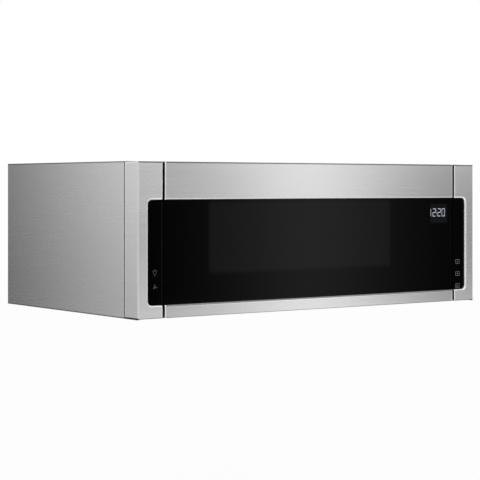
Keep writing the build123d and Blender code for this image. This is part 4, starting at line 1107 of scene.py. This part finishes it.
# wires that run one way: a sine along each, half a turn apart from wire to wire
def weaveOneWay(start, end, low, high, height, swap):
    pitch, wave = filterMesh["pitch"], filterMesh["wave"]
    along = np.arange(start, end, pitch / 4)
    section = roundProfile(filterMesh["wire"], filterMesh["wireSides"])
    wires = []
    for index, place in enumerate(np.arange(low + pitch / 2, high, pitch)):
        rise = height + wave * np.sin(np.pi * (along - start) / pitch + np.pi * (index + swap))
        level = np.full(len(along), place)
        path = np.stack((level, along, rise) if swap else (along, level, rise), axis=1)
        wires.append(carried(path, section, (0, 0, 1)))
    return wires


# the weave inside a filter's rim, and a half ring of wire to pull it by
def makeFilterMesh(node):
    (left, front, low), (right, back, high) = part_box(node)
    rim, radius, steps = filterMesh["rim"], filterMesh["ringRadius"], filterMesh["ringSteps"]
    height = low + filterMesh["rise"]
    wires = weaveOneWay(left + rim, right - rim, front + rim, back - rim, height, 0)
    wires += weaveOneWay(front + rim, back - rim, left + rim, right - rim, height, 1)
    turn = np.linspace(0, np.pi, steps)
    ring = np.stack([(left + right) / 2 + radius * np.cos(turn), front + rim + radius * np.sin(turn),
                     np.full(steps, low + filterMesh["ringWire"])], axis=1)
    section = roundProfile(filterMesh["ringWire"], filterMesh["ringSides"])
    wires.append(carried(ring, section, (0, 0, 1)))
    makePiece(node.replace("filter", "weave"), wires, aluminium, node)


for filterNode in ("left_grease_filter", "right_grease_filter"):
    makeFilterMesh(filterNode)

# case screws with a cross recess

screw = {
    "radius": 0.004,
    "height": 0.0022,
    "dome": 0.9,           # how far the head curves toward a half ball
    "crossWidth": 0.14,    # of the radius
    "crossReach": 0.56,
    "crossDepth": 0.5,     # of the height
    "rings": 15,
    "sides": 48,
}


# height over radius and angle: a flattened dome, lower inside the cross, then the rim and the flat base
def screwHead(x, y, z):
    radius = np.concatenate([np.linspace(0, 1, screw["rings"]), (1.0, 0.0)])[:, None]
    turn = np.linspace(0, 2 * np.pi, screw["sides"], endpoint=False)[None, :]
    across, up = radius * np.cos(turn), radius * np.sin(turn)
    out = np.sqrt(1 - (screw["dome"] * radius) ** 2) * np.ones_like(turn)
    cross = (np.minimum(abs(across), abs(up)) < screw["crossWidth"]) & (radius < screw["crossReach"])
    out = out - cross * screw["crossDepth"]
    out[-2:] = 0
    size = screw["radius"]
    points = np.stack([x + across * size, y + out * screw["height"], z + up * size], axis=2)
    return points, tubeFaces(*points.shape[:2]), False


# six heads on the back, at the corners and the middles of the screws' box
def makeScrews():
    low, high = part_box("case_screws")
    radius = screw["radius"]
    heads = [screwHead(x, low[1], z)
             for x in (low[0] + radius, high[0] - radius)
             for z in (low[2] + radius, (low[2] + high[2]) / 2, high[2] - radius)]
    piece = makePiece("screw_heads", heads, boltSteel, "case")
    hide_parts("case_screws")


makeScrews()

# black strips of painted shade under the end caps, and the chips of the cooktop lamps over their lenses

shadowStrip = {"width": 0.0046, "height": 0.00095, "frontInset": 0.0012}
lampBoard = {
    "lensWidth": 0.064,
    "columns": 4,
    "rows": 2,
    "pitchX": 0.012,
    "pitchY": 0.013,
    "chip": 0.0032,
    "thickness": 0.0007,
    "below": 0.0022,       # middle of the chips below the lamps' top
}


# a flat black strip along the outer edge of each end cap's underside: a painted shadow for the gap there
def makeShadowStrips():
    strips = []
    width, height = shadowStrip["width"], shadowStrip["height"]
    for node, side in (("left_end_cap", 1), ("right_end_cap", -1)):
        low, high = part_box(node)
        outer = low[0] if side > 0 else high[0]
        middle = outer + side * width / 2
        path = [(middle, low[1] + shadowStrip["frontInset"], height / 2), (middle, high[1], height / 2)]
        strips.append(carried(path, flatProfile(width, height), (0, 0, 1)))
    makePiece("cap_shadow_strips", strips, blackPlastic, "case", smooth=False)


# rows and columns of small square chips over each lens
def makeLampChips():
    low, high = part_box("cooktop_lamps")
    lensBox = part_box("lamp_lenses")
    halfLens, half = lampBoard["lensWidth"] / 2, lampBoard["chip"] / 2
    section = flatProfile(lampBoard["chip"], lampBoard["thickness"])
    z = high[2] - lampBoard["below"]
    columns, rows = lampBoard["columns"], lampBoard["rows"]
    chips = []
    for middle in (lensBox[0][0] + halfLens, lensBox[1][0] - halfLens):
        for column in range(columns):
            for row in range(rows):
                x = middle + (column - (columns - 1) / 2) * lampBoard["pitchX"]
                y = (lensBox[0][1] + lensBox[1][1]) / 2 + (row - (rows - 1) / 2) * lampBoard["pitchY"]
                chips.append(carried([(x, y - half, z), (x, y + half, z)], section, (0, 0, 1)))
    phosphor = mouldedPlastic("lamp_phosphor", (0.80, 0.66, 0.18), 0.35)
    makePiece("lamp_chips", chips, phosphor, "case", smooth=False)


makeShadowStrips()
makeLampChips()
print("filters, screws and strips made")

# end of the scene

print("scene made")
